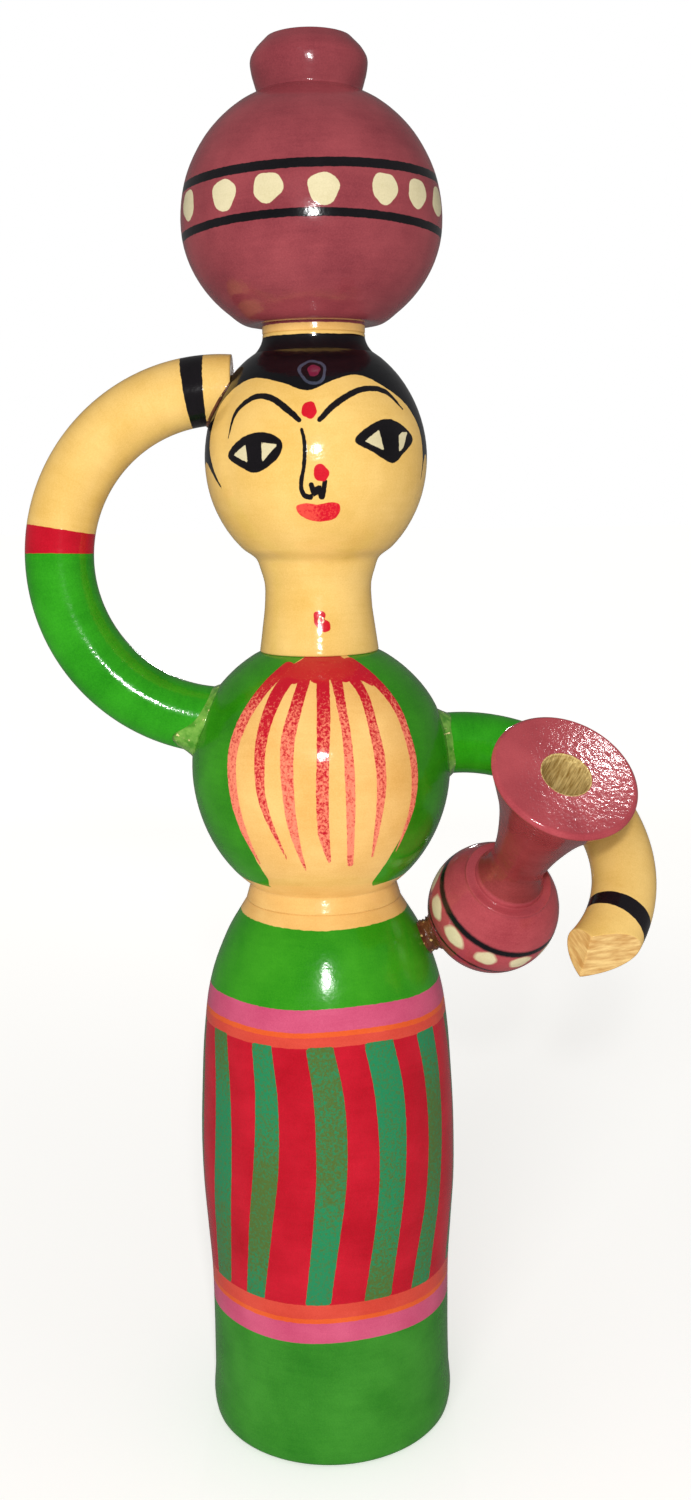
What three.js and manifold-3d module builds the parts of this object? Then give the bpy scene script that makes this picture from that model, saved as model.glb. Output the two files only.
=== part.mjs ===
// A lathe-turned, lacquered wooden doll of a woman carrying water: one pot on her head, steadied by a
// raised arm, and a small long-necked pot on her hip, held by a bent arm.
// Millimetres, +Z up, face towards -Y. The origin is the centre of the round base, on the floor.
import * as THREE from 'three';
import { mergeVertices } from 'three/addons/utils/BufferGeometryUtils.js';
import Module from 'manifold-3d';

const wasm = await Module();
wasm.setup();

// ---------------------------------------------------------------- driving sizes

const seamGap = 0.3;          // between two pieces that are glued face to face
const dowelClearance = 0.15;  // round a dowel or a pin in its hole
const roundSides = 36;        // facets round a turned piece
const armSides = 18;          // facets round an arm's section

const skirt = {
  height: 122,
  hemRadius: 27.2,
  hemEdge: 2.4,      // rounding of the lower edge
  kneeHeight: 34,    // the slight waisting low on the skirt
  kneeRadius: 27.1,
  fullDrop: 58,      // fullest place, measured down from the waist
  fullRadius: 28.6,
  hipDrop: 25,
  hipRadius: 26.7,
  bellyDrop: 10,
  bellyRadius: 22.6,
  waistRadius: 17,
};

const torso = {
  collar: 3.4,       // short hollow between the skirt and the round of the torso
  waistRadius: 16,
  radius: 28.1,
  lowerRise: 31.4,   // half-height of the round below its widest place
  upperRise: 28,
  neckRadius: 12.8,
};

const head = {
  neckHeight: 19.3,
  neckRadius: 11.3,
  chinRadius: 12.9,
  radius: 23.4,
  lowerRise: 25.2,
  upperRise: 25.6,
  crownRadius: 10.7,
  crownHeight: 2.6,
};

const waterPot = {
  footHeight: 1.8,
  baseRadius: 14,
  radius: 26.9,
  lowerRise: 23.9,
  upperRise: 27.2,
  throatRadius: 10.6,
  lipRadius: 11.9,
  lipHeight: 10.5,
  lipFlat: 8.6,
  mouthRadius: 5.5,
  mouthDepth: 12,
};

const dowel = { radius: 4, length: 24 };
const pin = { radius: 0.8, length: 15 };

const raisedArm = {
  radius: 7.4,        // of the round section
  bulge: 33.2,        // how far the arm swings out from the line between its two ends
  shoulderAngle: 21.7, // up the round of the torso, degrees
  handAngle: 40.3,    // up the round of the head, degrees
  handSink: 0.8,      // how far the hand's centre line sinks into the round of the head
};

const loweredArm = {
  radius: 6.8,
  ringRadius: 31,
  shoulderAngle: 8.2,   // up the round of the torso, degrees
  shoulderTurn: 5.8,    // round towards the back, degrees
  turn: 10,             // of the ring about the upright, degrees
  tilt: -45,            // of the ring, its low end brought forwards, degrees
  ringStart: 92,        // place of the shoulder round the ring, degrees
  ringEnd: -53,         // place of the hand round the ring, degrees
};

const hipPot = {
  radius: 14.4,
  bottomRadius: 5,
  collarRadius: 9.6,    // first turned step round the neck
  collarStep: 0.7,
  shoulderRadius: 7.6,  // second step
  neckRadius: 6,
  neckRise: 19,         // from the middle of the round to the narrowest place
  rimRise: 48.6,        // from the middle of the round to the flat rim
  rimRadius: 15.2,
  rimEdge: 0.8,
  mouthRadius: 5,
  mouthDepth: 14,
  restDrop: 9.4,        // where it rests on the hip, measured down from the waist
  restTurn: -4.5,       // round towards the front, degrees
  standOff: 2.2,        // thickness of the glue between the hip and the pot
  leanTurn: -70,        // of its axis from +X, round towards the front, degrees
  leanRise: 47,         // of its axis above the level, degrees
};

const glue = { thickness: 1, creep: 2.2, hipRadius: 3.2 };

// ---------------------------------------------------------------- outlines

const degrees = THREE.MathUtils.degToRad;
const point = (radius, height) => new THREE.Vector2(radius, height);

// Part of an ellipse centred on the axis, from one angle to another above its widest place.
function round(centreHeight, radius, rise, from, to, steps) {
  return Array.from({ length: steps + 1 }, (_, i) => {
    const angle = from + ((to - from) * i) / steps;
    return point(radius * Math.cos(angle), centreHeight + rise * Math.sin(angle));
  });
}

const smooth = (points, steps) => new THREE.SplineCurve(points).getPoints(steps);

// The outline moved outwards by a distance, for the tools that cut one piece to fit another.
function grown(outline, distance) {
  const last = outline.length - 1;
  return outline.map((here, i) => {
    const along = outline[Math.min(i + 1, last)].clone().sub(outline[Math.max(i - 1, 0)]).normalize();
    return point(Math.max(here.x + along.y * distance, 0), here.y - along.x * distance);
  });
}

const socketRadius = dowel.radius + dowelClearance;
const socketDepth = dowel.length / 2 + seamGap;
const socketFromBelow = [point(0, socketDepth), point(socketRadius, socketDepth), point(socketRadius, 0)];
const socketFromAbove = (height) => [
  point(socketRadius, height), point(socketRadius, height - socketDepth), point(0, height - socketDepth)];

const skirtSide = smooth([
  point(skirt.hemRadius, skirt.hemEdge),
  point(skirt.kneeRadius, skirt.kneeHeight),
  point(skirt.fullRadius, skirt.height - skirt.fullDrop),
  point(skirt.hipRadius, skirt.height - skirt.hipDrop),
  point(skirt.bellyRadius, skirt.height - skirt.bellyDrop),
  point(skirt.waistRadius, skirt.height),
], 14);

const hemCorner = [0, 1, 2].map((i) => {
  const angle = (i * Math.PI) / 6;
  return point(skirt.hemRadius - skirt.hemEdge + skirt.hemEdge * Math.sin(angle),
    skirt.hemEdge - skirt.hemEdge * Math.cos(angle));
});

const skirtOutline = [point(0, 0), ...hemCorner, ...skirtSide, ...socketFromAbove(skirt.height)];

const lowAngle = (part, radius) => -Math.acos(radius / part.radius);
const highAngle = (part, radius) => Math.acos(radius / part.radius);

torso.middle = torso.collar - torso.lowerRise * Math.sin(lowAngle(torso, torso.waistRadius));
torso.height = torso.middle + torso.upperRise * Math.sin(highAngle(torso, torso.neckRadius));
const torsoRound = [
  ...round(torso.middle, torso.radius, torso.lowerRise, lowAngle(torso, torso.waistRadius), 0, 6),
  ...round(torso.middle, torso.radius, torso.upperRise, 0, highAngle(torso, torso.neckRadius), 7).slice(1)];
const torsoOutline = [...socketFromBelow, point(skirt.waistRadius, 0), ...torsoRound,
  ...socketFromAbove(torso.height)];

head.middle = head.neckHeight - head.lowerRise * Math.sin(lowAngle(head, head.chinRadius));
head.crownStart = head.middle + head.upperRise * Math.sin(highAngle(head, head.crownRadius));
head.height = head.crownStart + head.crownHeight;
const headRound = [
  ...round(head.middle, head.radius, head.lowerRise, lowAngle(head, head.chinRadius), 0, 6),
  ...round(head.middle, head.radius, head.upperRise, 0, highAngle(head, head.crownRadius), 6).slice(1)];
const neckSide = smooth([
  point(torso.neckRadius, 0),
  point(head.neckRadius, head.neckHeight * 0.66),
  headRound[0],
], 5).slice(0, -1);
const headOutline = [...socketFromBelow, ...neckSide, ...headRound, point(head.crownRadius, head.height),
  ...socketFromAbove(head.height)];

waterPot.middle = waterPot.footHeight
  - waterPot.lowerRise * Math.sin(lowAngle(waterPot, waterPot.baseRadius));
waterPot.throat = waterPot.middle + waterPot.upperRise * Math.sin(highAngle(waterPot, waterPot.throatRadius));
waterPot.height = waterPot.throat + waterPot.lipHeight;
const potRound = [
  ...round(waterPot.middle, waterPot.radius, waterPot.lowerRise,
    lowAngle(waterPot, waterPot.baseRadius), 0, 6),
  ...round(waterPot.middle, waterPot.radius, waterPot.upperRise, 0,
    highAngle(waterPot, waterPot.throatRadius), 7).slice(1)];
const lipSide = smooth([
  point(waterPot.throatRadius, waterPot.throat),
  point(waterPot.lipRadius, waterPot.throat + waterPot.lipHeight * 0.6),
  point(waterPot.lipFlat, waterPot.height),
], 6).slice(1);
const waterPotOutline = [...socketFromBelow, point(head.crownRadius, 0),
  point(head.crownRadius, waterPot.footHeight), ...potRound, ...lipSide,
  point(waterPot.mouthRadius, waterPot.height),
  point(waterPot.mouthRadius, waterPot.height - waterPot.mouthDepth),
  point(0, waterPot.height - waterPot.mouthDepth)];

// The hip pot is drawn along its own axis, from the middle of its round.
const collarAngle = Math.acos(hipPot.collarRadius / hipPot.radius);
const collarRise = hipPot.radius * Math.sin(collarAngle);
const funnel = smooth([
  point(hipPot.shoulderRadius, collarRise + hipPot.collarStep * 2),
  point(hipPot.neckRadius, hipPot.neckRise),
  point((hipPot.neckRadius * 2 + hipPot.rimRadius) / 3, (hipPot.neckRise + hipPot.rimRise) / 2),
  point(hipPot.rimRadius, hipPot.rimRise - hipPot.rimEdge),
], 7);
const bottomAngle = -Math.acos(hipPot.bottomRadius / hipPot.radius);
const hipPotOutline = [
  point(0, hipPot.radius * Math.sin(bottomAngle)),
  ...round(0, hipPot.radius, hipPot.radius, bottomAngle, collarAngle, 9),
  point(hipPot.collarRadius, collarRise + hipPot.collarStep),
  point(hipPot.shoulderRadius, collarRise + hipPot.collarStep),
  ...funnel,
  point(hipPot.rimRadius - hipPot.rimEdge, hipPot.rimRise),
  point(hipPot.mouthRadius, hipPot.rimRise),
  point(hipPot.mouthRadius, hipPot.rimRise - hipPot.mouthDepth),
  point(0, hipPot.rimRise - hipPot.mouthDepth),
];

// ---------------------------------------------------------------- shapes and cuts

const turned = (outline, sides = roundSides) => new THREE.LatheGeometry(outline, sides).rotateX(Math.PI / 2);
const moved = (geometry, frame) => geometry.clone().applyMatrix4(frame);

class RingArc extends THREE.Curve {
  constructor(radius, from, to) {
    super();
    Object.assign(this, { radius, from, to });
  }

  getPoint(t, target = new THREE.Vector3()) {
    const angle = degrees(this.from + (this.to - this.from) * t);
    return target.set(this.radius * Math.cos(angle), 0, this.radius * Math.sin(angle));
  }
}

// A length of a round-section ring, centred on the origin in the upright XZ plane.
// Its facets are turned by half a facet, so that no edge runs in the ring's own plane.
function ringLength(ringRadius, sectionRadius, from, to) {
  const section = new THREE.Shape(
    Array.from({ length: armSides }, (_, i) => {
      const angle = ((i + 0.5) * 2 * Math.PI) / armSides;
      return point(sectionRadius * Math.cos(angle), sectionRadius * Math.sin(angle));
    }));
  const steps = Math.ceil(Math.abs(to - from) / 6);
  return new THREE.ExtrudeGeometry(section,
    { steps, bevelEnabled: false, extrudePath: new RingArc(ringRadius, from, to) });
}

// A straight round rod between two points.
function rod(start, end, radius, sides = 14) {
  const along = end.clone().sub(start);
  const turn = new THREE.Quaternion().setFromUnitVectors(
    new THREE.Vector3(0, 1, 0), along.clone().normalize());
  const middle = start.clone().addScaledVector(along, 0.5);
  return new THREE.CylinderGeometry(radius, radius, along.length(), sides)
    .applyQuaternion(turn).translate(middle.x, middle.y, middle.z);
}

// A block whose face passes through a point and looks back along the given direction.
function blockBeyond(place, direction, size = 60) {
  const turn = new THREE.Quaternion().setFromUnitVectors(new THREE.Vector3(0, 0, 1), direction);
  return new THREE.BoxGeometry(size, size, size).translate(0, 0, size / 2)
    .applyQuaternion(turn).translate(place.x, place.y, place.z);
}

function toSolid(geometry) {
  const bare = geometry.clone();
  bare.deleteAttribute('normal');
  bare.deleteAttribute('uv');
  const merged = mergeVertices(bare, 1e-4);
  const corners = merged.index.array;
  const triangles = [];
  for (let i = 0; i < corners.length; i += 3) {
    const [a, b, c] = corners.slice(i, i + 3);
    if (a !== b && b !== c && c !== a) triangles.push(a, b, c);
  }
  return new wasm.Manifold(new wasm.Mesh({
    numProp: 3,
    vertProperties: new Float32Array(merged.attributes.position.array),
    triVerts: new Uint32Array(triangles),
  }));
}

function toGeometry(solid) {
  const mesh = solid.getMesh();
  const result = new THREE.BufferGeometry();
  result.setAttribute('position', new THREE.BufferAttribute(mesh.vertProperties, 3));
  result.setIndex(new THREE.BufferAttribute(mesh.triVerts, 1));
  result.computeVertexNormals();
  return result;
}

// The first geometry with the others cut away.
const cut = (geometry, ...tools) => toGeometry(
  tools.reduce((rest, tool) => rest.subtract(toSolid(tool)), toSolid(geometry)));

// A piece drawn in its own frame, with tools that are drawn where the doll stands.
function cutInPlace(geometry, frame, ...tools) {
  const back = frame.clone().invert();
  return cut(geometry, ...tools.map((tool) => moved(tool, back)));
}

// ---------------------------------------------------------------- where the pieces stand

const upright = (height) => new THREE.Matrix4().makeTranslation(0, 0, height);
const torsoBase = skirt.height + seamGap;
const headBase = torsoBase + torso.height + seamGap;
const potBase = headBase + head.height + seamGap;
const torsoFrame = upright(torsoBase);
const headFrame = upright(headBase);
const torsoCentre = new THREE.Vector3(0, 0, torsoBase + torso.middle);
const headCentre = new THREE.Vector3(0, 0, headBase + head.middle);

// A direction from its angle above the level and its turn from +X towards +Y.
function direction(rise, turn) {
  const level = Math.cos(degrees(rise));
  return new THREE.Vector3(
    level * Math.cos(degrees(turn)), level * Math.sin(degrees(turn)), Math.sin(degrees(rise)));
}

// The raised arm's ring passes through the shoulder and the hand, and bulges out by its own amount.
const raisedShoulder = torsoCentre.clone()
  .addScaledVector(direction(raisedArm.shoulderAngle, 180), torso.radius);
const raisedHand = headCentre.clone()
  .addScaledVector(direction(raisedArm.handAngle, 180), head.radius - raisedArm.handSink);
const chord = raisedHand.clone().sub(raisedShoulder);
const ringRadius = (chord.lengthSq() / 4 + raisedArm.bulge ** 2) / (2 * raisedArm.bulge);
const inwards = new THREE.Vector3(chord.z, 0, -chord.x).normalize();
const raisedCentre = raisedShoulder.clone().addScaledVector(chord, 0.5)
  .addScaledVector(inwards, ringRadius - raisedArm.bulge);
const raisedFrame = new THREE.Matrix4().setPosition(raisedCentre);
const ringAngle = (place) => {
  const angle = THREE.MathUtils.radToDeg(Math.atan2(place.z - raisedCentre.z, place.x - raisedCentre.x));
  return angle < 0 ? angle + 360 : angle;
};

// The lowered arm's ring is turned and tilted about the shoulder.
const loweredShoulder = torsoCentre.clone()
  .addScaledVector(direction(loweredArm.shoulderAngle, loweredArm.shoulderTurn), torso.radius);
const ringTurn = new THREE.Matrix4().makeRotationZ(degrees(loweredArm.turn))
  .multiply(new THREE.Matrix4().makeRotationX(degrees(loweredArm.tilt)));
const ringPlace = (angle) => new THREE.Vector3(
  loweredArm.ringRadius * Math.cos(degrees(angle)), 0, loweredArm.ringRadius * Math.sin(degrees(angle)));
const loweredFrame = ringTurn.clone().setPosition(
  loweredShoulder.clone().sub(ringPlace(loweredArm.ringStart).applyMatrix4(ringTurn)));

// The hip pot rests on the slope of the hip, and its neck leans out through the lowered arm's ring.
const hipPoints = skirtSide.filter((here) => here.y > skirt.height - skirt.hipDrop);
const restHeight = skirt.height - hipPot.restDrop;
const restIndex = hipPoints.findIndex((here) => here.y >= restHeight);
const [below, above] = [hipPoints[restIndex - 1], hipPoints[restIndex]];
const restRadius = THREE.MathUtils.mapLinear(restHeight, below.y, above.y, below.x, above.x);
const hipSlope = above.clone().sub(below).normalize();
const hipOut = direction(0, hipPot.restTurn).multiplyScalar(hipSlope.y)
  .add(new THREE.Vector3(0, 0, -hipSlope.x));
const hipRest = direction(0, hipPot.restTurn).multiplyScalar(restRadius)
  .add(new THREE.Vector3(0, 0, restHeight));
const hipPotCentre = hipRest.clone().addScaledVector(hipOut, hipPot.radius + hipPot.standOff);
const hipPotFrame = new THREE.Matrix4().makeRotationZ(degrees(hipPot.leanTurn))
  .multiply(new THREE.Matrix4().makeRotationY(degrees(90 - hipPot.leanRise))).setPosition(hipPotCentre);

// ---------------------------------------------------------------- pins, and the holes they need

const endToEnd = (middle, along, length) => [
  middle.clone().addScaledVector(along, -length / 2), middle.clone().addScaledVector(along, length / 2)];

function pinAt(middle, along) {
  return {
    body: rod(...endToEnd(middle, along, pin.length), pin.radius),
    hole: rod(...endToEnd(middle, along, pin.length + 2 * seamGap), pin.radius + dowelClearance),
  };
}

const raisedShoulderPin = pinAt(raisedShoulder,
  new THREE.Vector3(raisedCentre.z - raisedShoulder.z, 0, raisedShoulder.x - raisedCentre.x).normalize());
const loweredShoulderPin = pinAt(loweredShoulder, new THREE.Vector3(
  -Math.sin(degrees(loweredArm.ringStart)), 0, Math.cos(degrees(loweredArm.ringStart)))
  .transformDirection(ringTurn));
const hipPotPin = pinAt(hipRest.clone().addScaledVector(hipOut, hipPot.standOff / 2), hipOut);

// ---------------------------------------------------------------- the pieces

const torsoGrown = (distance) => moved(turned([point(0, 0), point(skirt.waistRadius, 0),
  ...grown(torsoRound, distance), point(0, torso.height)]), torsoFrame);
const torsoTool = torsoGrown(seamGap);
const headTool = moved(turned([point(0, 0), ...grown([...neckSide, ...headRound], seamGap),
  point(0, head.crownStart)]), headFrame);

const past = 8; // degrees that an arm is first drawn past its joint, before it is cut to fit
const raisedRing = [ringAngle(raisedHand) - past, ringAngle(raisedShoulder) + past];
const handFlat = blockBeyond(raisedHand, new THREE.Vector3(1, 0, 0));
const raisedArmShape = cutInPlace(ringLength(ringRadius, raisedArm.radius, ...raisedRing), raisedFrame,
  torsoTool, headTool, handFlat, raisedShoulderPin.hole);

// Three knife cuts rough out the lowered hand. Each lies behind the tip of the rod by its depth.
const handTip = ringPlace(loweredArm.ringEnd);
const handOut = handTip.clone().normalize();
const handAlong = new THREE.Vector3(handOut.z, 0, -handOut.x);
const handAcross = new THREE.Vector3(0, 1, 0);
const knifeCuts = [
  { out: -0.25, across: -0.05, depth: 0 },
  { out: 1.45, across: -0.3, depth: 1.3 },
  { out: 0.1, across: 1.3, depth: -4 },
].map(({ out, across, depth }) => {
  const facing = handAlong.clone().addScaledVector(handOut, out).addScaledVector(handAcross, across)
    .normalize();
  return blockBeyond(handTip.clone().addScaledVector(facing, -depth), facing);
});
const loweredArmShape = cut(
  ringLength(loweredArm.ringRadius, loweredArm.radius, loweredArm.ringEnd - past,
    loweredArm.ringStart + 2 * past),
  ...knifeCuts,
  ...[torsoTool, loweredShoulderPin.hole].map((tool) => moved(tool, loweredFrame.clone().invert())));

// Glue squeezed out round a shoulder: a collar on the arm, as far as the glue creeps from the torso.
function shoulderGlue(frame, ring, arm, from, to) {
  const sleeve = (thickness) => toSolid(
    moved(ringLength(ring, arm.radius + thickness, from, to), frame));
  const collar = sleeve(glue.thickness).intersect(toSolid(torsoGrown(glue.creep)));
  return toGeometry(collar.subtract(sleeve(seamGap)).subtract(toSolid(torsoTool)));
}

const raisedShoulderGlue = shoulderGlue(raisedFrame, ringRadius, raisedArm, ...raisedRing);
const loweredShoulderGlue = shoulderGlue(loweredFrame, loweredArm.ringRadius, loweredArm,
  loweredArm.ringEnd, loweredArm.ringStart + 2 * past);

const hipGlueRod = rod(hipRest.clone().addScaledVector(hipOut, -2),
  hipPotCentre.clone().addScaledVector(hipOut, 2 - hipPot.radius), glue.hipRadius, 20);
const hipTool = turned([point(0, 0), ...grown(skirtSide, seamGap), point(0, skirt.height)]);
const potTool = moved(new THREE.IcosahedronGeometry(hipPot.radius + seamGap, 6), hipPotFrame);
const hipPotGlue = cut(hipGlueRod, hipTool, potTool, hipPotPin.hole);

// ---------------------------------------------------------------- the doll

const lacquer = (colour, roughness = 0.3) => ({ color: colour, roughness, metalness: 0 });
const green = lacquer(0x32a014);
const skin = lacquer(0xf0cb82, 0.35);
const rose = lacquer(0x9b444e);
const crimson = lacquer(0xc81432);
const bareWood = lacquer(0xd9b98a, 0.7);
const iron = { color: 0x6a6a6c, roughness: 0.5, metalness: 0.9 };
const dryGlue = lacquer(0x9cbf3c, 0.2);

const doll = new THREE.Group();

function add(name, geometry, look, frame = new THREE.Matrix4()) {
  const mesh = new THREE.Mesh(geometry, new THREE.MeshStandardMaterial(look));
  mesh.name = name;
  mesh.applyMatrix4(frame);
  doll.add(mesh);
}

add('skirt', cut(turned(skirtOutline), hipPotPin.hole), crimson);
add('torso', cutInPlace(turned(torsoOutline), torsoFrame, raisedShoulderPin.hole, loweredShoulderPin.hole),
  green, torsoFrame);
add('head', turned(headOutline), skin, headFrame);
add('water_pot', turned(waterPotOutline), rose, upright(potBase));

const dowelPlaces = { waist_dowel: skirt.height, neck_dowel: torsoBase + torso.height,
  pot_dowel: headBase + head.height };
for (const [name, seam] of Object.entries(dowelPlaces)) {
  const shape = new THREE.CylinderGeometry(dowel.radius, dowel.radius, dowel.length, 24)
    .rotateX(Math.PI / 2);
  add(name, shape, bareWood, upright(seam + seamGap / 2));
}

add('raised_arm', raisedArmShape, green, raisedFrame);
add('raised_shoulder_pin', raisedShoulderPin.body, iron);
add('raised_shoulder_glue', raisedShoulderGlue, dryGlue);
add('lowered_arm', loweredArmShape, green, loweredFrame);
add('lowered_shoulder_pin', loweredShoulderPin.body, iron);
add('lowered_shoulder_glue', loweredShoulderGlue, dryGlue);
add('hip_pot', cutInPlace(turned(hipPotOutline, 30), hipPotFrame, hipPotPin.hole), rose, hipPotFrame);
add('hip_pot_pin', hipPotPin.body, iron);
add('hip_pot_glue', hipPotGlue, dryGlue);

export default doll;
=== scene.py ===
# %% [markdown]
# # A turned and lacquered water carrier
# The doll is softwood turned on a lathe, painted with bright lacquer and glued together: a skirt, a
# torso and a head one above the other, a water pot on top, two bent arms and a small pot on the hip.
# The CAD frame already has every piece in its place and at its size. This lesson gives the pieces the
# fine surface, the painted pattern and the gloss that the frame leaves out.

# %% Load the frame
import math

import bpy
import numpy as np
from mathutils import Matrix, Vector


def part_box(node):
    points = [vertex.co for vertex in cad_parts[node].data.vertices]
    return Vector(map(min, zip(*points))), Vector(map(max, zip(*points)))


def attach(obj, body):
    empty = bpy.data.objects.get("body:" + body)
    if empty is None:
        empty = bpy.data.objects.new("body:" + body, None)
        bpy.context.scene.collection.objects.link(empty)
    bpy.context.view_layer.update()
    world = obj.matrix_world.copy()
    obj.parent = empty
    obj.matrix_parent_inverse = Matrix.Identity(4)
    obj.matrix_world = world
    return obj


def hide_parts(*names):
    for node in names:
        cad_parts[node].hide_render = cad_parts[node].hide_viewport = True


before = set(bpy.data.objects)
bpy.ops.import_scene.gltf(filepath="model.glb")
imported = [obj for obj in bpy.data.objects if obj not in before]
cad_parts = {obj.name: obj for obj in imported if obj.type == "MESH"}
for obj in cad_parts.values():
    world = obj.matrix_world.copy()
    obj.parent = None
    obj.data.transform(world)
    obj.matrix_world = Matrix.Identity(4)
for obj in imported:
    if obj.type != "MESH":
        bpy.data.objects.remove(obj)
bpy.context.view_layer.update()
mm = 0.001
scene = bpy.context.scene

# %% [markdown]
# ## The view
# A turned doll looks best from a little above its middle and quite close, so that the belts of
# paint curve round it. A camera could be aimed with a tracking constraint, but one matrix of plain
# turns is easier to read: stand in front, tip the view down, and lean it by less than a degree.

# %% Camera
camera_place = Vector((5.3, -332.9, 213.3)) * mm
view_tip = math.radians(80)
view_lean = math.radians(-0.88)
lens = 37.2

camera_data = bpy.data.cameras.new("camera")
camera_data.lens = lens
camera_data.sensor_width = 36
camera_data.clip_start = 0.01
camera = bpy.data.objects.new("camera", camera_data)
camera.matrix_world = (Matrix.Translation(camera_place) @ Matrix.Rotation(view_tip, 4, "X")
                       @ Matrix.Rotation(view_lean, 4, "Z"))
scene.collection.objects.link(camera)
scene.camera = camera
print("camera stands", round(camera_place.length / mm), "mm from the foot of the doll")

# %% [markdown]
# ## Light and floor
# Lacquer shows its gloss only where something small and bright is mirrored in it. One very large
# source would light the doll just as well, but its mirror image would wash the edges out to grey. So
# the work is shared out: a broad lamp and a pale surround light the paint and are hidden from its
# reflections. A small soft box just above the camera makes the sparkle, a narrow spot sparkles on the
# rim of the small pot, which faces upwards, and a weak box stands behind. The plain floor glows a
# little, more so further away, so it runs out into the pale surround without an edge.

# %% Lamps and surround
scene.view_settings.view_transform = "Standard"


def add_light(name, kind, place, aim, strength, mirrored=True, **settings):
    data = bpy.data.lights.new(name, kind)
    data.energy = strength
    for key, value in settings.items():
        setattr(data, key, value)
    light = bpy.data.objects.new(name, data)
    light.location = Vector(place) * mm
    light.rotation_euler = (Vector(aim) * mm - light.location).to_track_quat("-Z", "Y").to_euler()
    light.visible_glossy = mirrored
    scene.collection.objects.link(light)
    return light


def add_surround(lit, mirrored, seen):
    """A pale surround with three strengths: for the light it gives, its mirror image, and itself."""
    world = bpy.data.worlds.new("surround")
    world.use_nodes = True
    nodes, links = world.node_tree.nodes, world.node_tree.links
    kind_of_ray = nodes.new("ShaderNodeLightPath")
    result = nodes["Background"]
    result.inputs["Color"].default_value = (1.0, 0.99, 0.97, 1)
    result.inputs["Strength"].default_value = lit
    for strength, ray in ((mirrored, "Is Glossy Ray"), (seen, "Is Camera Ray")):
        glow = nodes.new("ShaderNodeBackground")
        glow.inputs["Color"].default_value = (1.0, 1.0, 1.0, 1)
        glow.inputs["Strength"].default_value = strength
        mix = nodes.new("ShaderNodeMixShader")
        links.new(kind_of_ray.outputs[ray], mix.inputs[0])
        links.new(result.outputs[0], mix.inputs[1])
        links.new(glow.outputs[0], mix.inputs[2])
        result = mix
    links.new(result.outputs[0], nodes["World Output"].inputs["Surface"])
    scene.world = world


add_surround(lit=0.37, mirrored=0.15, seen=1.0)
add_light("soft_box", "AREA", (12, -352, 262), (0, 0, 170), 0.55, shape="DISK", size=0.022)
add_light("lamp", "SUN", (-160, -600, 330), (0, 0, 150), 1.2, mirrored=False, angle=math.radians(25))
add_light("rim_spot", "SPOT", (320, 16, 605), (56, -32, 155), 0.6, spot_size=math.radians(3.0),
          spot_blend=1.0, shadow_soft_size=0.006)
add_light("back_box", "AREA", (0, 560, 260), (0, 0, 170), 0.12, shape="DISK", size=0.04)
print("lights:", ", ".join(light.name for light in bpy.data.lights))

# %% Floor
half_floor = 6.0    # metres from the middle to the edge
near_glow, far_glow, far_away = 0.07, 0.28, 0.7    # glow at the doll, glow far away, and how far that is
floor_mesh = bpy.data.meshes.new("floor")
floor_corners = [(x * half_floor, y * half_floor, 0) for x, y in ((-1, -1), (1, -1), (1, 1), (-1, 1))]
floor_mesh.from_pydata(floor_corners, [], [(0, 1, 2, 3)])
floor = bpy.data.objects.new("floor", floor_mesh)
floor.visible_glossy = False
scene.collection.objects.link(floor)

floor_paint = bpy.data.materials.new("floor_paint")
floor_paint.use_nodes = True
floor_shader = floor_paint.node_tree.nodes["Principled BSDF"]
floor_shader.inputs["Base Color"].default_value = (0.88, 0.875, 0.86, 1)
floor_shader.inputs["Roughness"].default_value = 0.9
floor_shader.inputs["Specular IOR Level"].default_value = 0.1
floor_shader.inputs["Emission Color"].default_value = (1.0, 0.99, 0.97, 1)
floor_nodes, floor_links = floor_paint.node_tree.nodes, floor_paint.node_tree.links
floor_place = floor_nodes.new("ShaderNodeTexCoord")
how_far = floor_nodes.new("ShaderNodeVectorMath")
how_far.operation = "LENGTH"
further = floor_nodes.new("ShaderNodeMapRange")
further.inputs["From Max"].default_value = far_away
further.inputs["To Min"].default_value = near_glow
further.inputs["To Max"].default_value = far_glow
kind_of_ray = floor_nodes.new("ShaderNodeLightPath")
glow = floor_nodes.new("ShaderNodeMath")
glow.operation = "MULTIPLY_ADD"
glow.inputs[2].default_value = 0.34
floor_links.new(floor_place.outputs["Object"], how_far.inputs[0])
floor_links.new(how_far.outputs["Value"], further.inputs["Value"])
floor_links.new(kind_of_ray.outputs["Is Camera Ray"], glow.inputs[0])
floor_links.new(further.outputs["Result"], glow.inputs[1])
floor_links.new(glow.outputs[0], floor_shader.inputs["Emission Strength"])
floor_mesh.materials.append(floor_paint)
print("the floor is", 2 * half_floor, "m wide")

# %% [markdown]
# ## Reading an outline off the frame
# A turned piece is one outline swept round an axis. The frame's pieces have 36 flat sides, so every
# point of their outline appears as a ring of 36 corners. Typing the outline in again would be a second
# truth; finding the rings in the frame keeps the fine piece and the frame alike for good.

# %% Read the rings
ring_grid = 0.04       # corners that agree to this many millimetres lie on one ring
fewest_corners = 18    # where another piece was cut out, a ring may have lost half of its corners
smallest_ring = 1.0    # smaller circles are the axis itself
same_ring = 0.15       # rings closer than this are one and the same


def node_corners(name):
    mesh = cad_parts[name].data
    corners = np.empty(len(mesh.vertices) * 3)
    mesh.vertices.foreach_get("co", corners)
    return corners.reshape(-1, 3) / mm


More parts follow.
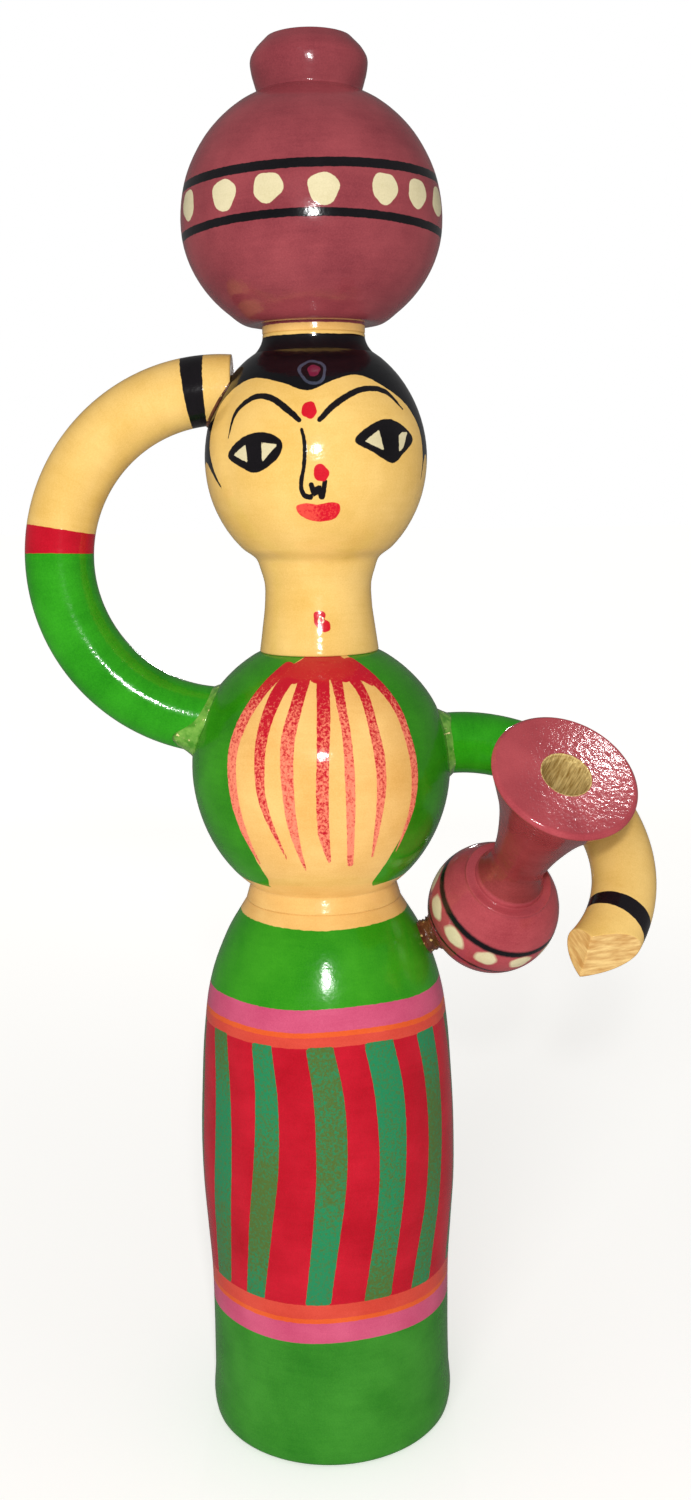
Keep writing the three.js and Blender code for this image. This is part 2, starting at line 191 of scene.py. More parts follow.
def find_rings(local):
    """Radius and height of each full ring of corners, in millimetres, lowest first."""
    places = np.column_stack([np.hypot(local[:, 0], local[:, 1]), local[:, 2]])
    keys, counts = np.unique(np.round(places / ring_grid), axis=0, return_counts=True)
    rings = [key * ring_grid for key, count in zip(keys, counts)
             if count >= fewest_corners and key[0] * ring_grid > smallest_ring]
    kept = []
    for ring in sorted(rings, key=lambda place: (place[1], place[0])):
        if all(math.dist(ring, other) > same_ring for other in kept):
            kept.append(ring)
    return kept


# %% Put the rings in order
same_level = 0.1       # rings this close in height, or in radius, belong together
shallowest_bore = 1    # a bore goes at least this deep, in millimetres


def order_outline(rings, bored_below, bored_above):
    """The outline as a maker follows it: from the axis below, up the outside, to the axis above."""
    low, high = rings[0][1], rings[-1][1]
    below, above = [(0, low)], [(0, high)]
    bores = []
    if bored_below:
        edge = min((r for r in rings if abs(r[1] - low) < same_level), key=lambda r: r[0])
        end = min((r for r in rings if abs(r[0] - edge[0]) < same_level and r[1] > low + shallowest_bore),
                  key=lambda r: r[1])
        below = [(0, end[1]), (edge[0], end[1]), (edge[0], low)]
        bores += [edge, end]
    if bored_above:
        edge = min((r for r in rings if abs(r[1] - high) < same_level), key=lambda r: r[0])
        end = max((r for r in rings if abs(r[0] - edge[0]) < same_level and r[1] < high - shallowest_bore),
                  key=lambda r: r[1])
        above = [(edge[0], high), (edge[0], end[1]), (0, end[1])]
        bores += [edge, end]
    outside = []
    left = [ring for ring in rings if all(ring is not bore for bore in bores)]
    while left:
        level = min(ring[1] for ring in left)
        last = outside[-1][0] if outside else below[-1][0]
        tier = sorted((r for r in left if r[1] - level < same_level), key=lambda r: abs(r[0] - last))
        outside += [(float(r[0]), float(r[1])) for r in tier]
        left = [r for r in left if r[1] - level >= same_level]
    return below + outside + above


print("rings in the skirt:", len(find_rings(node_corners("skirt"))))

# %% [markdown]
# ## Making the outline fine
# Where the outline turns gently it was one sweep of the gouge, so those stretches become smooth
# curves; where it turns sharply it is a real edge or groove, and it stays. A spline through all the
# points would round the edges off. Each kept edge gets a very small round, as sandpaper leaves it.
# One weakness is left: a long flat stretch that ends in a gentle turn, like the foot of the skirt, bows
# out a little, because the smooth curve leans into the turn too early.

# %% Smooth the outline
edge_turn = math.radians(35)    # a sharper turn than this is a real edge
edge_round = 0.12               # how much of an edge the sandpaper took, in millimetres


def smooth_stretch(points, spacing):
    points = np.array(points, float)
    steps = np.maximum(np.linalg.norm(np.diff(points, axis=0), axis=1), 1e-6)
    slopes = np.diff(points, axis=0) / steps[:, None]
    tangents = np.vstack([slopes[:1], (slopes[:-1] * steps[1:, None] + slopes[1:] * steps[:-1, None])
                          / (steps[:-1] + steps[1:])[:, None], slopes[-1:]])
    fine = []
    for i, step in enumerate(steps):
        count = max(int(math.ceil(step / spacing)), 1)
        t = (np.arange(count) / count)[:, None]
        fine.append((2 * t**3 - 3 * t**2 + 1) * points[i] + (t**3 - 2 * t**2 + t) * step * tangents[i]
                    + (3 * t**2 - 2 * t**3) * points[i + 1] + (t**3 - t**2) * step * tangents[i + 1])
    return np.vstack(fine + [points[-1:]])


def turning_angles(points):
    along = np.diff(points, axis=0)
    heading = np.arctan2(along[:, 1], along[:, 0])
    return np.abs((np.diff(heading) + math.pi) % (2 * math.pi) - math.pi)


def step_off(edge, neighbour):
    """A point just beside a kept edge, on the way to its neighbour."""
    length = np.linalg.norm(neighbour - edge)
    return edge + (neighbour - edge) / length * min(edge_round, length / 3)


def fine_outline(outline, spacing):
    outline = np.array(outline, float)
    is_edge = turning_angles(outline) > edge_turn
    stops = [0] + [i + 1 for i, sharp in enumerate(is_edge) if sharp] + [len(outline) - 1]
    pieces = []
    for start, end in zip(stops[:-1], stops[1:]):
        run = smooth_stretch(outline[start:end + 1], spacing)
        pieces.append(np.vstack([step_off(run[0], run[1]), run[1:-1], step_off(run[-1], run[-2])]))
    return np.vstack([outline[:1]] + pieces + [outline[-1:]])


square = fine_outline([(0, 0), (10, 0), (10, 10), (0, 10)], 1.0)
print("a square of 10 mm with its edges taken off has", len(square), "points")


# %% [markdown]
# ## Turning the fine piece
# Blender's Screw or Spin could sweep the outline, but then the columns are all equally wide. Written
# as a grid of points, the face can have closer columns than the back of the head, and each point also
# knows its angle round the piece and its way along the outline, which the painting needs later.
# A hand-held gouge leaves faint rings and the wood is never quite round, so the radius wanders a little.

# %% Unevenness and columns
chatter = np.random.default_rng(5)
bore_limit = 5.6    # every bore is narrower than this, and every outside wider, in millimetres


def gentle_noise(a, b, waves, reach):
    """A smooth hand-made unevenness between -1 and 1 over two directions."""
    total = np.zeros(np.broadcast(a, b).shape)
    for _ in range(waves):
        turn, rise = chatter.integers(1, reach), chatter.uniform(0.05, 0.35)
        total = total + np.sin(turn * a + rise * b + chatter.uniform(0, 2 * math.pi)) / waves
    return total


def columns_round(count, front_share=0.0, front_width=80):
    """Angles round a piece in radians, with a share of them packed into the front."""
    if not front_share:
        return np.arange(count) * 2 * math.pi / count - math.pi
    front = int(count * front_share)
    wide = math.radians(front_width)
    close = np.linspace(-wide, wide, front, endpoint=False)
    return np.concatenate([close, np.linspace(wide, 2 * math.pi - wide, count - front, endpoint=False)])


print("columns in a plain piece and in a face:", len(columns_round(256)), len(columns_round(300, 0.62, 82)))

# %% The grid of a turned piece
def turn_piece(outline, angles, uneven=0.07):
    """The grid of a turned piece: a dictionary of what each point knows about itself."""
    along = np.concatenate([[0], np.cumsum(np.linalg.norm(np.diff(outline, axis=0), axis=1))])
    radius, height = outline[1:-1, 0], outline[1:-1, 1]
    phi, r = np.meshgrid(angles, radius)
    s = np.repeat(height[:, None], len(angles), axis=1)
    v = np.repeat(along[1:-1, None], len(angles), axis=1)
    rings = 0.012 * np.sin(s * 5.3) * np.sin(s * 1.7)
    grow = np.where(r > bore_limit, uneven * gentle_noise(phi, s, 9, 5) + rings, 0)
    return {"phi": phi, "r": r, "s": s, "v": v, "grow": grow, "outline": outline, "along": along}


def height_to_way(grid, height):
    """The way along the outside of the outline at a height; the bores inside are left out."""
    outline, along = grid["outline"], grid["along"]
    outside = outline[:, 0] > bore_limit
    return np.interp(height, outline[outside, 1], along[outside])


def grid_points(grid):
    r = grid["r"] + grid["grow"]
    points = np.stack([r * np.sin(grid["phi"]), -r * np.cos(grid["phi"]), grid["s"]], axis=-1)
    first, last = grid["outline"][0], grid["outline"][-1]
    poles = np.array([[0, 0, first[1]], [0, 0, last[1]]])
    return np.vstack([points.reshape(-1, 3), poles])


def grid_faces(rows, columns):
    """Quads between the rings, and a fan of triangles round the axis at each end."""
    i, j = np.meshgrid(np.arange(rows - 1), np.arange(columns), indexing="ij")
    k = (j + 1) % columns
    quads = np.stack([i * columns + j, i * columns + k, (i + 1) * columns + k, (i + 1) * columns + j], -1)
    faces = quads.reshape(-1, 4).tolist()
    low, high, top = rows * columns, rows * columns + 1, (rows - 1) * columns
    faces += [(low, (c + 1) % columns, c) for c in range(columns)]
    faces += [(high, top + c, top + (c + 1) % columns) for c in range(columns)]
    return faces


print("faces in a small grid:", len(grid_faces(3, 8)))

# %% From a grid to an object
def make_piece(name, points, faces, marks, replaces):
    """A Blender object from points in millimetres, with one named number per point for each mark."""
    mesh = bpy.data.meshes.new(name)
    mesh.from_pydata((points * mm).tolist(), [], faces)
    mesh.shade_smooth()
    for mark, values in marks.items():
        values = np.asarray(values, float)
        if values.shape[-1] == 3 and values.ndim == 2:
            layer = mesh.attributes.new(mark, "FLOAT_VECTOR", "POINT")
            layer.data.foreach_set("vector", values.ravel())
        else:
            layer = mesh.attributes.new(mark, "FLOAT", "POINT")
            layer.data.foreach_set("value", values.ravel())
    mesh.validate()
    piece = bpy.data.objects.new(name, mesh)
    scene.collection.objects.link(piece)
    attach(piece, "root")
    if replaces:
        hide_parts(replaces)
    print(name, "has", len(mesh.vertices), "points")
    return piece


def with_ends(marks):
    """The marks of a grid, and for the two points on the axis the mean of their nearest ring."""
    return {mark: np.append(values.ravel(), [values[0].mean(), values[-1].mean()])
            for mark, values in marks.items()}


def finish_turned(name, grid, marks, replaces, origin=(0, 0, 0), axes=np.eye(3)):
    """Turns a grid and its marks into an object, in the place and direction where it belongs."""
    local = grid_points(grid)
    rows, columns = grid["r"].shape
    full = with_ends(marks)
    full["own"] = local
    points = local @ np.asarray(axes).T + np.asarray(origin)
    return make_piece(name, points, grid_faces(rows, columns), full, replaces)


# %% [markdown]
# ## Painting by distance
# The pattern was painted by hand with a brush, so its edges are crisp but never quite true. It could
# be unwrapped and drawn in an image, or cut into the mesh. Here each point of the mesh carries its
# distance to the edge of a painted shape, in millimetres, below zero inside. The material turns that
# into a sharp edge of any finish, and the edge may wobble as a brush does.

# %% Lines and distances
def smooth_line(points, closed=False, steps=10):
    """A soft curve through given points."""
    points = np.array(points, float)
    if closed:
        ring = np.vstack([points[-1:], points, points[:2]])
    else:
        ring = np.vstack([2 * points[0] - points[1], points, 2 * points[-1] - points[-2]])
    fine = []
    for a, b, c, d in zip(ring[:-3], ring[1:-2], ring[2:-1], ring[3:]):
        for t in np.arange(steps) / steps:
            fine.append(0.5 * (2 * b + (c - a) * t + (2 * a - 5 * b + 4 * c - d) * t**2
                               + (3 * b - 3 * c + d - a) * t**3))
    return np.array(fine if closed else fine + [points[-1]])


def segment_distances(u, v, line):
    """Distance to a line, and how far along it from 0 to 1 the nearest place is."""
    best = np.full(u.shape, 1e9)
    place = np.zeros(u.shape)
    for i, (a, b) in enumerate(zip(line[:-1], line[1:])):
        du, dv = b[0] - a[0], b[1] - a[1]
        t = np.clip(((u - a[0]) * du + (v - a[1]) * dv) / (du * du + dv * dv + 1e-12), 0, 1)
        distance = np.hypot(u - a[0] - t * du, v - a[1] - t * dv)
        nearer = distance < best
        best = np.where(nearer, distance, best)
        place = np.where(nearer, (i + t) / (len(line) - 1), place)
    return best, place


def inside(u, v, line):
    crossings = np.zeros(u.shape, int)
    for a, b in zip(line, np.roll(line, -1, axis=0)):
        spans = (a[1] > v) != (b[1] > v)
        at = a[0] + (v - a[1]) * (b[0] - a[0]) / (b[1] - a[1] + 1e-12)
        crossings += spans & (u < at)
    return crossings % 2 == 1


corner_square = np.array([[0, 0], [2, 0], [2, 2], [0, 2]])
print("is the middle inside a square?", bool(inside(np.ones(1), np.ones(1), corner_square)[0]))

# %% The canvas
class Canvas:
    """A turned piece laid flat for painting: u runs round it and v along its outline.

    Heights are counted from the foot. The canvas wraps at the back, so a shape painted across
    180 degrees is cut off there, as one dot of the water pot is.
    """

    def __init__(self, grid, foot):
        self.grid = grid
        self.foot = foot
        self.u = (grid["phi"] + math.pi) % (2 * math.pi) - math.pi
        self.u = self.u * grid["r"]
        self.v = grid["v"]

    def place(self, points):
        """Points, given as degrees round and millimetres up, laid on the canvas."""
        spots = []
        for point in points:
            way = height_to_way(self.grid, self.foot + point[1])
            radius = np.interp(way, self.grid["along"], self.grid["outline"][:, 0])
            spots.append((math.radians(point[0]) * radius, way))
        return np.array(spots)

    def stroke(self, points, widths):
        line = smooth_line(self.place(points))
        distance, place = segment_distances(self.u, self.v, line)
        half = np.interp(place, np.linspace(0, 1, len(widths)), widths) / 2
        return distance - half

    def patch(self, points, soft=True):
        line = self.place(points)
        line = smooth_line(line, closed=True, steps=6) if soft else line
        distance, _ = segment_distances(self.u, self.v, np.vstack([line, line[:1]]))
        return np.where(inside(self.u, self.v, line), -distance, distance)

    def dot(self, angle, height, wide, tall, lean=0):
        middle = self.place([(angle, height)])[0]
        du, dv = self.u - middle[0], self.v - middle[1]
        c, s = math.cos(math.radians(lean)), math.sin(math.radians(lean))
        x, y = (c * du + s * dv) / wide, (c * dv - s * du) / tall
        around = np.arctan2(y, x)
        bulge = 1 + 0.05 * np.sin(3 * around + angle) + 0.03 * np.sin(5 * around - angle)
        return (np.hypot(x, y) / bulge - 1) * min(wide, tall)


def nearest(*distances):
    return np.minimum.reduce(distances)


def past_edge(grid, inset):
    """Below zero in the bore at the top of a piece, where no lacquer reached."""
    last_outside = np.nonzero(grid["outline"][:, 0] > bore_limit)[0][-1]
    return grid["along"][last_outside] + inset - grid["v"]


# %% [markdown]
# ## Lacquer
# The maker held a stick of coloured shellac against the spinning wood, then painted the pattern with
# a brush and varnished it. So the colour has faint rings and patches, the gloss is high but rippled,
# and each painted shape stands a hair proud. One material builds that from the marks on the mesh:
# a ground colour, and coats laid over it in the order of painting.

# %% Material helpers
def srgb(red, green, blue):
    """A colour as a painter's chart gives it, from 0 to 255, in the units of the shader."""
    parts = [c / 255 for c in (red, green, blue)]
    return tuple(p / 12.92 if p <= 0.04045 else ((p + 0.055) / 1.055) ** 2.4 for p in parts) + (1.0,)


class Sheet:
    """A material's node tree, with one short call for each kind of node."""

    def __init__(self, name):
        self.material = bpy.data.materials.new(name)
        self.material.use_nodes = True
        self.tree = self.material.node_tree
        self.shader = self.tree.nodes["Principled BSDF"]

    def node(self, kind, inputs=None, **settings):
        made = self.tree.nodes.new(kind)
        for key, value in settings.items():
            setattr(made, key, value)
        for key, value in (inputs or {}).items():
            self.plug(made.inputs[key], value)
        return made

    def plug(self, socket, value):
        if isinstance(value, bpy.types.NodeSocket):
            self.tree.links.new(value, socket)
        else:
            socket.default_value = value

    def mark(self, name):
        return self.node("ShaderNodeAttribute", attribute_name=name).outputs["Fac"]

    def own_place(self, stretch):
        """The place on the piece in its own frame, squeezed or stretched along each direction."""
        own = self.node("ShaderNodeAttribute", attribute_name="own").outputs["Vector"]
        return self.node("ShaderNodeVectorMath", {0: own, 1: stretch}, operation="MULTIPLY").outputs[0]

    def noise(self, place, scale, detail=3.0, roughness=0.5):
        made = self.node("ShaderNodeTexNoise", {"Vector": place, "Scale": scale, "Detail": detail,
                                                "Roughness": roughness})
        return made.outputs["Fac"]

    def math(self, operation, a, b=0.0):
        return self.node("ShaderNodeMath", {0: a, 1: b}, operation=operation).outputs[0]

    def ramp(self, value, low, high, to_low=0.0, to_high=1.0):
        made = self.node("ShaderNodeMapRange", {"Value": value, "From Min": low, "From Max": high,
                                                "To Min": to_low, "To Max": to_high})
        return made.outputs["Result"]

    def finish(self, colour, rough, height, strength, depth):
        """Plugs colour, roughness and relief into the shader; the depth of the relief is in metres."""
        bump = self.node("ShaderNodeBump", {"Height": height, "Strength": strength, "Distance": depth})
        self.plug(self.shader.inputs["Base Color"], colour)
        self.plug(self.shader.inputs["Roughness"], rough)
        self.plug(self.shader.inputs["Normal"], bump.outputs["Normal"])
        return self.material

    def blend(self, factor, a, b):
        made = self.node("ShaderNodeMix", data_type="RGBA")
        self.plug(made.inputs[0], factor)
        self.plug(made.inputs[6], a)
        self.plug(made.inputs[7], b)
        return made.outputs[2]


# %% The lacquer material
torn_wood = {"fibre": (1.6, 1.6, 0.16), "dark": srgb(158, 124, 58), "light": srgb(236, 210, 140),
             "rough": 0.75, "relief": 2.5}
whittled_wood = {"fibre": (0.5, 0.14, 0.14), "dark": srgb(206, 152, 80), "light": srgb(246, 208, 134),
                 "rough": 0.45, "relief": 1.0}


def lacquer(name, ground, coats, gloss=0.2, bare=None, wood=torn_wood, soft=0.05, ripple=0.35):
    """A ground of two close colours, and coats of (mark, dark, light) and maybe a shading mark."""
    sheet = Sheet(name)
    flat = sheet.own_place((1, 1, 1))
    rings = sheet.own_place((0.12, 0.12, 1))
    patchy = sheet.noise(flat, 0.09, 3)
    ringed = sheet.noise(rings, 1.1, 4, 0.6)
    fine = sheet.noise(flat, 3.5, 2)
    grain = sheet.ramp(sheet.noise(flat, 1.7, 4, 0.7), 0.38, 0.62, -0.7, 0.7)
    cloud = sheet.math("ADD", sheet.math("MULTIPLY", patchy, 0.55), sheet.math("MULTIPLY", ringed, 0.15))
    cloud = sheet.math("ADD", cloud, sheet.math("MULTIPLY", fine, 0.30))
    tone = sheet.ramp(cloud, 0.34, 0.66)
    waver = sheet.math("MULTIPLY", sheet.math("SUBTRACT", sheet.noise(flat, 0.9, 2), 0.5), 0.28)
    colour = sheet.blend(tone, ground[0], ground[1])
    height = sheet.math("MULTIPLY", ringed, 0.12)
    for mark, dark, light, *shading in coats:
        edge = sheet.math("ADD", sheet.mark(mark), waver)
        cover = sheet.ramp(edge, -soft, soft, 1, 0)
        shade = tone
        if shading:
            shade = sheet.ramp(sheet.math("ADD", sheet.mark(shading[0]), grain), 0, 1)
        colour = sheet.blend(cover, colour, sheet.blend(shade, dark, light))
        height = sheet.math("ADD", height, sheet.math("MULTIPLY", cover, 0.12))
    rough = sheet.ramp(patchy, 0.3, 0.7, gloss * 0.8, gloss * 1.3)
    if bare:
        fibre = sheet.noise(sheet.own_place(wood["fibre"]), 1.6, 4, 0.6)
        grained = sheet.blend(sheet.ramp(fibre, 0.35, 0.65), wood["dark"], wood["light"])
        raw = sheet.ramp(sheet.math("ADD", sheet.mark(bare), waver), -0.05, 0.05, 1, 0)
        colour = sheet.blend(raw, colour, grained)
        rough = sheet.ramp(raw, 0, 1, rough, wood["rough"])
        ridges = sheet.math("MULTIPLY", sheet.math("MULTIPLY", raw, fibre), wood["relief"])
        height = sheet.math("ADD", height, ridges)
    peel = sheet.noise(flat, 0.75, 2, 0.55)
    height = sheet.math("ADD", height, sheet.math("MULTIPLY", peel, ripple))
    return sheet.finish(colour, rough, height, 1.0, 0.00006)


# %% Paint box
cream = (srgb(204, 192, 150), srgb(226, 214, 176))
skin = (srgb(220, 176, 90), srgb(240, 200, 120))
tan = (srgb(224, 170, 92), srgb(244, 198, 122))
rose = (srgb(124, 50, 58), srgb(156, 70, 76))
black = (srgb(8, 6, 9), srgb(24, 20, 24))
hair_black = (srgb(6, 5, 8), srgb(17, 17, 21))
red = (srgb(188, 8, 30), srgb(214, 28, 46))
lip_red = (srgb(226, 74, 62), srgb(206, 14, 38))
thin_red = (srgb(188, 16, 38), srgb(242, 134, 104))
blouse_green = (srgb(36, 118, 10), srgb(60, 152, 24))
arm_green = (srgb(26, 126, 8), srgb(52, 164, 24))
skirt_green = (srgb(34, 130, 10), srgb(60, 156, 24))
hem_green = (srgb(38, 116, 24), srgb(62, 144, 40))
pink = (srgb(190, 68, 104), srgb(212, 92, 126))
orange = (srgb(212, 78, 28), srgb(232, 98, 44))
coral = (srgb(198, 58, 44), srgb(220, 80, 62))
crimson = (srgb(168, 4, 26), srgb(202, 16, 42))
olive_to_teal = (srgb(80, 106, 46), srgb(32, 132, 84))
print("rose in the shader's units:", [round(part, 3) for part in rose[0][:3]])

# %% [markdown]
# ## The water pot
# The pot on the head is one turning: a short foot, a round belly, a tight throat and an open lip with
# a small bore. A belt of cream dots runs between two black lines, and the foot was left skin-coloured.
# The lines sag a little to the sides, as a brush does on a spinning ball, and no two dots are alike.

# %% Water pot
def outline_of(name, bored_below, bored_above, spacing, origin=(0, 0, 0), axes=np.eye(3)):
    rings = find_rings((node_corners(name) - np.asarray(origin)) @ np.asarray(axes))
    rough_outline = order_outline(rings, bored_below, bored_above)
    fine = fine_outline(rough_outline, spacing)
    print(name, "has", len(rings), "rings, and its fine outline", len(fine), "points")
    return fine


def close_seam(outline, below=True, above=True):
    """Lengthens a piece by half of the glue gap, so that it meets its neighbour."""
    half_gap = 0.14
    low, high = outline[:, 1].min(), outline[:, 1].max()
    outline = outline.copy()
    if below:
        outline[outline[:, 1] < low + 0.001, 1] -= half_gap
    if above:
        outline[outline[:, 1] > high - 0.001, 1] += half_gap
    return outline


pot = turn_piece(close_seam(outline_of("water_pot", True, True, 0.55), above=False), columns_round(288))
pot_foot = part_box("water_pot")[0].z / mm
canvas = Canvas(pot, pot_foot)

front_dots = [-65, -38, -17, 6, 33, 52, 72]
gap_behind = (360 + front_dots[0] - front_dots[-1]) / 10
back_dots = [front_dots[-1] + gap_behind * step for step in range(1, 10)]


def sagging_line(middle, sag, lean, width):
    height = pot_foot + middle - sag * np.sin(pot["phi"]) ** 2 + lean * np.sin(pot["phi"])
    return np.abs(canvas.v - height_to_way(pot, height)) - width / 2


def pot_dot(angle):
    """One cream dot of the belt; the sines make each a little different from the next."""
    shown = angle if angle < 180 else angle - 360
    wide, tall = 3.2 + 0.25 * math.sin(3 * angle), 3.0 + 0.2 * math.cos(5 * angle)
    return canvas.dot(shown, 24.4 + 0.4 * math.sin(angle), wide, tall, 20 * math.sin(angle))


pot_marks = {
    "lines": nearest(sagging_line(29.1, 0.3, 0.6, 1.9), sagging_line(20.0, 1.2, 0.1, 1.6)),
    "dots": nearest(*[pot_dot(angle) for angle in front_dots + back_dots]),
    "foot": canvas.v - height_to_way(pot, pot_foot + 1.35),
    "bore": past_edge(pot, inset=bore_limit - 5.5),
}
water_pot = finish_turned("water_pot_turned", pot, pot_marks, "water_pot")
water_pot.data.materials.append(lacquer("pot_lacquer", rose, [
    ("foot", *tan), ("lines", *black), ("dots", *cream)], gloss=0.15, bare="bore",
    ripple=0.7))

# %% [markdown]
# ## The head
# Face and hair are brushwork on a smooth ball: heart-shaped hairline, long arched brows, almond eyes,
# one line for the nose, a red mark on the brow, a nose stud, and lips. Modelling a nose would be wrong,
# for the real head has none. The front of the ball gets nearly two thirds of the columns, so that the thin
# strokes stay clean.

# %% Hair
head = turn_piece(close_seam(outline_of("head", True, True, 0.42)), columns_round(300, 0.62, 82))
head_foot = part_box("head")[0].z / mm
canvas = Canvas(head, head_foot)

hairline = [(-57.2, 34.5), (-64, 39), (-69, 44), (-67, 50), (-61.8, 52.9), (-50, 55.5), (-37.4, 56.3),
            (-18.1, 55.0), (-2.8, 53.4), (12.3, 55.4), (29.1, 56.5), (46.3, 54.2), (62, 50.4), (70, 45.5),
            (71, 40), (70.5, 35.5), (77, 41), (95, 35), (120, 29), (179, 27)]
nape = [(-179, 27), (-120, 29), (-95, 34), (-76, 40)]


def hair_distance():
    """Distance to the edge of the hair, which goes over the crown and right round the back."""
    brow_edge = canvas.place(hairline)
    nape_edge = canvas.place(nape)
    edge = smooth_line(np.vstack([nape_edge, brow_edge]), steps=6)
    top = height_to_way(head, head_foot + 65.1)
    distance, _ = segment_distances(canvas.u, canvas.v, edge)
    order = np.vstack([edge, [[90, edge[-1][1]], [90, 200], [-90, 200], [-90, edge[0][1]]]])
    covered = inside(canvas.u, canvas.v, order)
    return np.maximum(np.where(covered, -distance, distance), canvas.v - top)


hair = hair_distance()
print("share of the head's grid points under hair:", round(float((hair < 0).mean()), 2))

# %% Eyes, brows, nose and lips
eyes = nearest(
    canvas.patch([(-48.3, 41.2), (-39.1, 44.4), (-27.6, 45.5), (-18.7, 44.6), (-15.4, 42.8),
                  (-18.7, 40.0), (-30.0, 37.6), (-41.1, 39.1)]),
    canvas.patch([(20.4, 43.5), (28.3, 46.3), (40.2, 47.8), (50.8, 46.7), (59.3, 43.9),
                  (49.9, 41.0), (41.8, 39.1), (30.1, 41.2)]))
whites = nearest(
    canvas.patch([(-44.3, 41.2), (-36.0, 43.1), (-34.6, 39.6)], soft=False),
    canvas.patch([(-26.6, 43.5), (-18.0, 43.0), (-26.2, 39.6)], soft=False),
    canvas.patch([(25.6, 43.4), (34.4, 45.7), (36.6, 41.5)], soft=False),
    canvas.patch([(47.4, 44.6), (50.4, 45.2), (54.8, 45.2), (50.0, 42.2), (46.6, 41.3)], soft=False))
brows = nearest(
    canvas.stroke([(-7.2, 47.6), (-13.1, 49.6), (-24.5, 52.2), (-35.8, 52.3), (-46.0, 49.4),
                   (-48.7, 44.4)], [1.0, 1.35, 1.4, 1.2, 0.9, 0.3]),
    canvas.stroke([(3.2, 47.7), (13.4, 51.1), (29.1, 53.6), (44.8, 53.3), (55.5, 49.8)],
                  [1.1, 1.4, 1.35, 1.2, 0.4]))
nose = nearest(
    canvas.stroke([(-5.9, 45.9), (-4.4, 42.8), (-4.9, 39.0), (-6.7, 35.3), (-5.6, 33.2),
                   (-2.2, 32.6)], [0.6, 0.85, 0.8, 0.85, 1.0, 1.1]),
    canvas.stroke([(-1.6, 35.1), (-0.2, 33.4), (2.2, 34.5), (3.6, 32.7), (5.2, 35.7)],
                  [1.0, 1.15, 1.0, 1.2, 0.9]))
lips = canvas.patch([(-9.8, 31.0), (-4, 31.5), (1.6, 31.2), (8, 31.6), (12.8, 31.2), (13.3, 29.6),
                     (10, 28.2), (1.5, 27.8), (-5, 28.4), (-9.2, 29.6)])
red_spots = nearest(canvas.dot(-2.1, 49.55, 1.5, 1.8),
                    canvas.dot(3.3, 37.4, 1.5, 1.75, 20),
                    canvas.dot(1.6, 8.1, 1.3, 1.2, 30), canvas.dot(4.6, 6.4, 2.0, 1.2, -35))
face_column = np.diff(head["phi"][0]).min() * head["r"].max()
print("a column on the widest part of the face is", round(float(face_column), 2), "mm wide")

# %% Paint the head
head_marks = {
    "hair": hair,
    "ring": np.abs(canvas.dot(-0.2, 57.2, 2.5, 2.9, 12)) - 0.3,
    "jewel": canvas.dot(0.5, 57.4, 1.25, 1.5),
    "ink": nearest(eyes, brows, nose),
    "whites": whites,
    "reds": red_spots,
    "lips": lips,
    "lip_side": 0.5 + 0.5 * np.tanh((canvas.u - 0.6) / 1.2),
    "bead": np.abs(canvas.dot(3.2, 7.3, 0.55, 0.6)) - 0.14,
}
turned_head = finish_turned("head_turned", head, head_marks, "head")
turned_head.data.materials.append(lacquer("face_lacquer", skin, [
    ("hair", *hair_black), ("ring", srgb(44, 48, 62), srgb(82, 86, 104)),
    ("jewel", srgb(92, 20, 44), srgb(128, 34, 62)), ("ink", *black), ("whites", *cream),
    ("reds", *red), ("lips", *lip_red, "lip_side"), ("bead", *cream)], gloss=0.14, ripple=0.7))

# %% [markdown]
# ## The torso
# The blouse is green, with a skin-coloured front that opens like a shell. Seven strokes of thin red
# run down it from a red yoke; they were pulled downwards in one go, so each is dark at the top, thin
# and grainy below, and ends in a point.

# %% Blouse, panel and strokes
torso = turn_piece(close_seam(outline_of("torso", True, True, 0.5)), columns_round(300, 0.5, 75))
torso_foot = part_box("torso")[0].z / mm
canvas = Canvas(torso, torso_foot)

panel = canvas.patch([(-14, 54.1), (-30, 50.8), (-37.5, 47), (-40.8, 41.9), (-41.8, 34.6),
                      (-40.4, 27), (-37.5, 20), (-34.8, 13.4), (-33, 8.2), (-34, 5.6), (0, 4.6),
                      (33, 5.2), (32, 7.4), (36.4, 13.4), (41.7, 20.7), (44.4, 28.3),
                      (45.2, 34.3), (43.8, 40.7), (43, 46), (38, 50.2), (30, 53.6), (8, 54.6)])
waist = canvas.v - height_to_way(torso, torso_foot + 5.4 + 1.2 * np.sin(torso["phi"]) ** 2)
stroke_paths = [
    [(-24, 52.8), (-33.5, 48), (-39.3, 41), (-40.6, 34.6), (-39.2, 27), (-36.8, 20), (-33, 12)],
    [(-17.6, 51.6), (-23.6, 47.3), (-26.2, 40), (-25.9, 33), (-24.2, 25.5), (-16.5, 13.5)],
    [(-8, 51.5), (-11.4, 45.2), (-13.8, 38.8), (-13.4, 31), (-12, 21.5), (-8.2, 11.3)],
    [(3, 52), (2.3, 43.4), (1.6, 36), (1.1, 28), (1.4, 20), (4, 13.4)],
    [(11.5, 51.5), (11.6, 45.5), (12.4, 39.5), (12.6, 32), (12.9, 24), (14.5, 12.5)],
    [(21, 51.5), (25.2, 47), (25.6, 41), (26.3, 35), (26.3, 27.5), (25.4, 13.8)],
    [(26, 53.4), (36.5, 49.6), (42, 44.2), (43.2, 37.5), (43.9, 31), (42.8, 23.5), (39, 14)]]
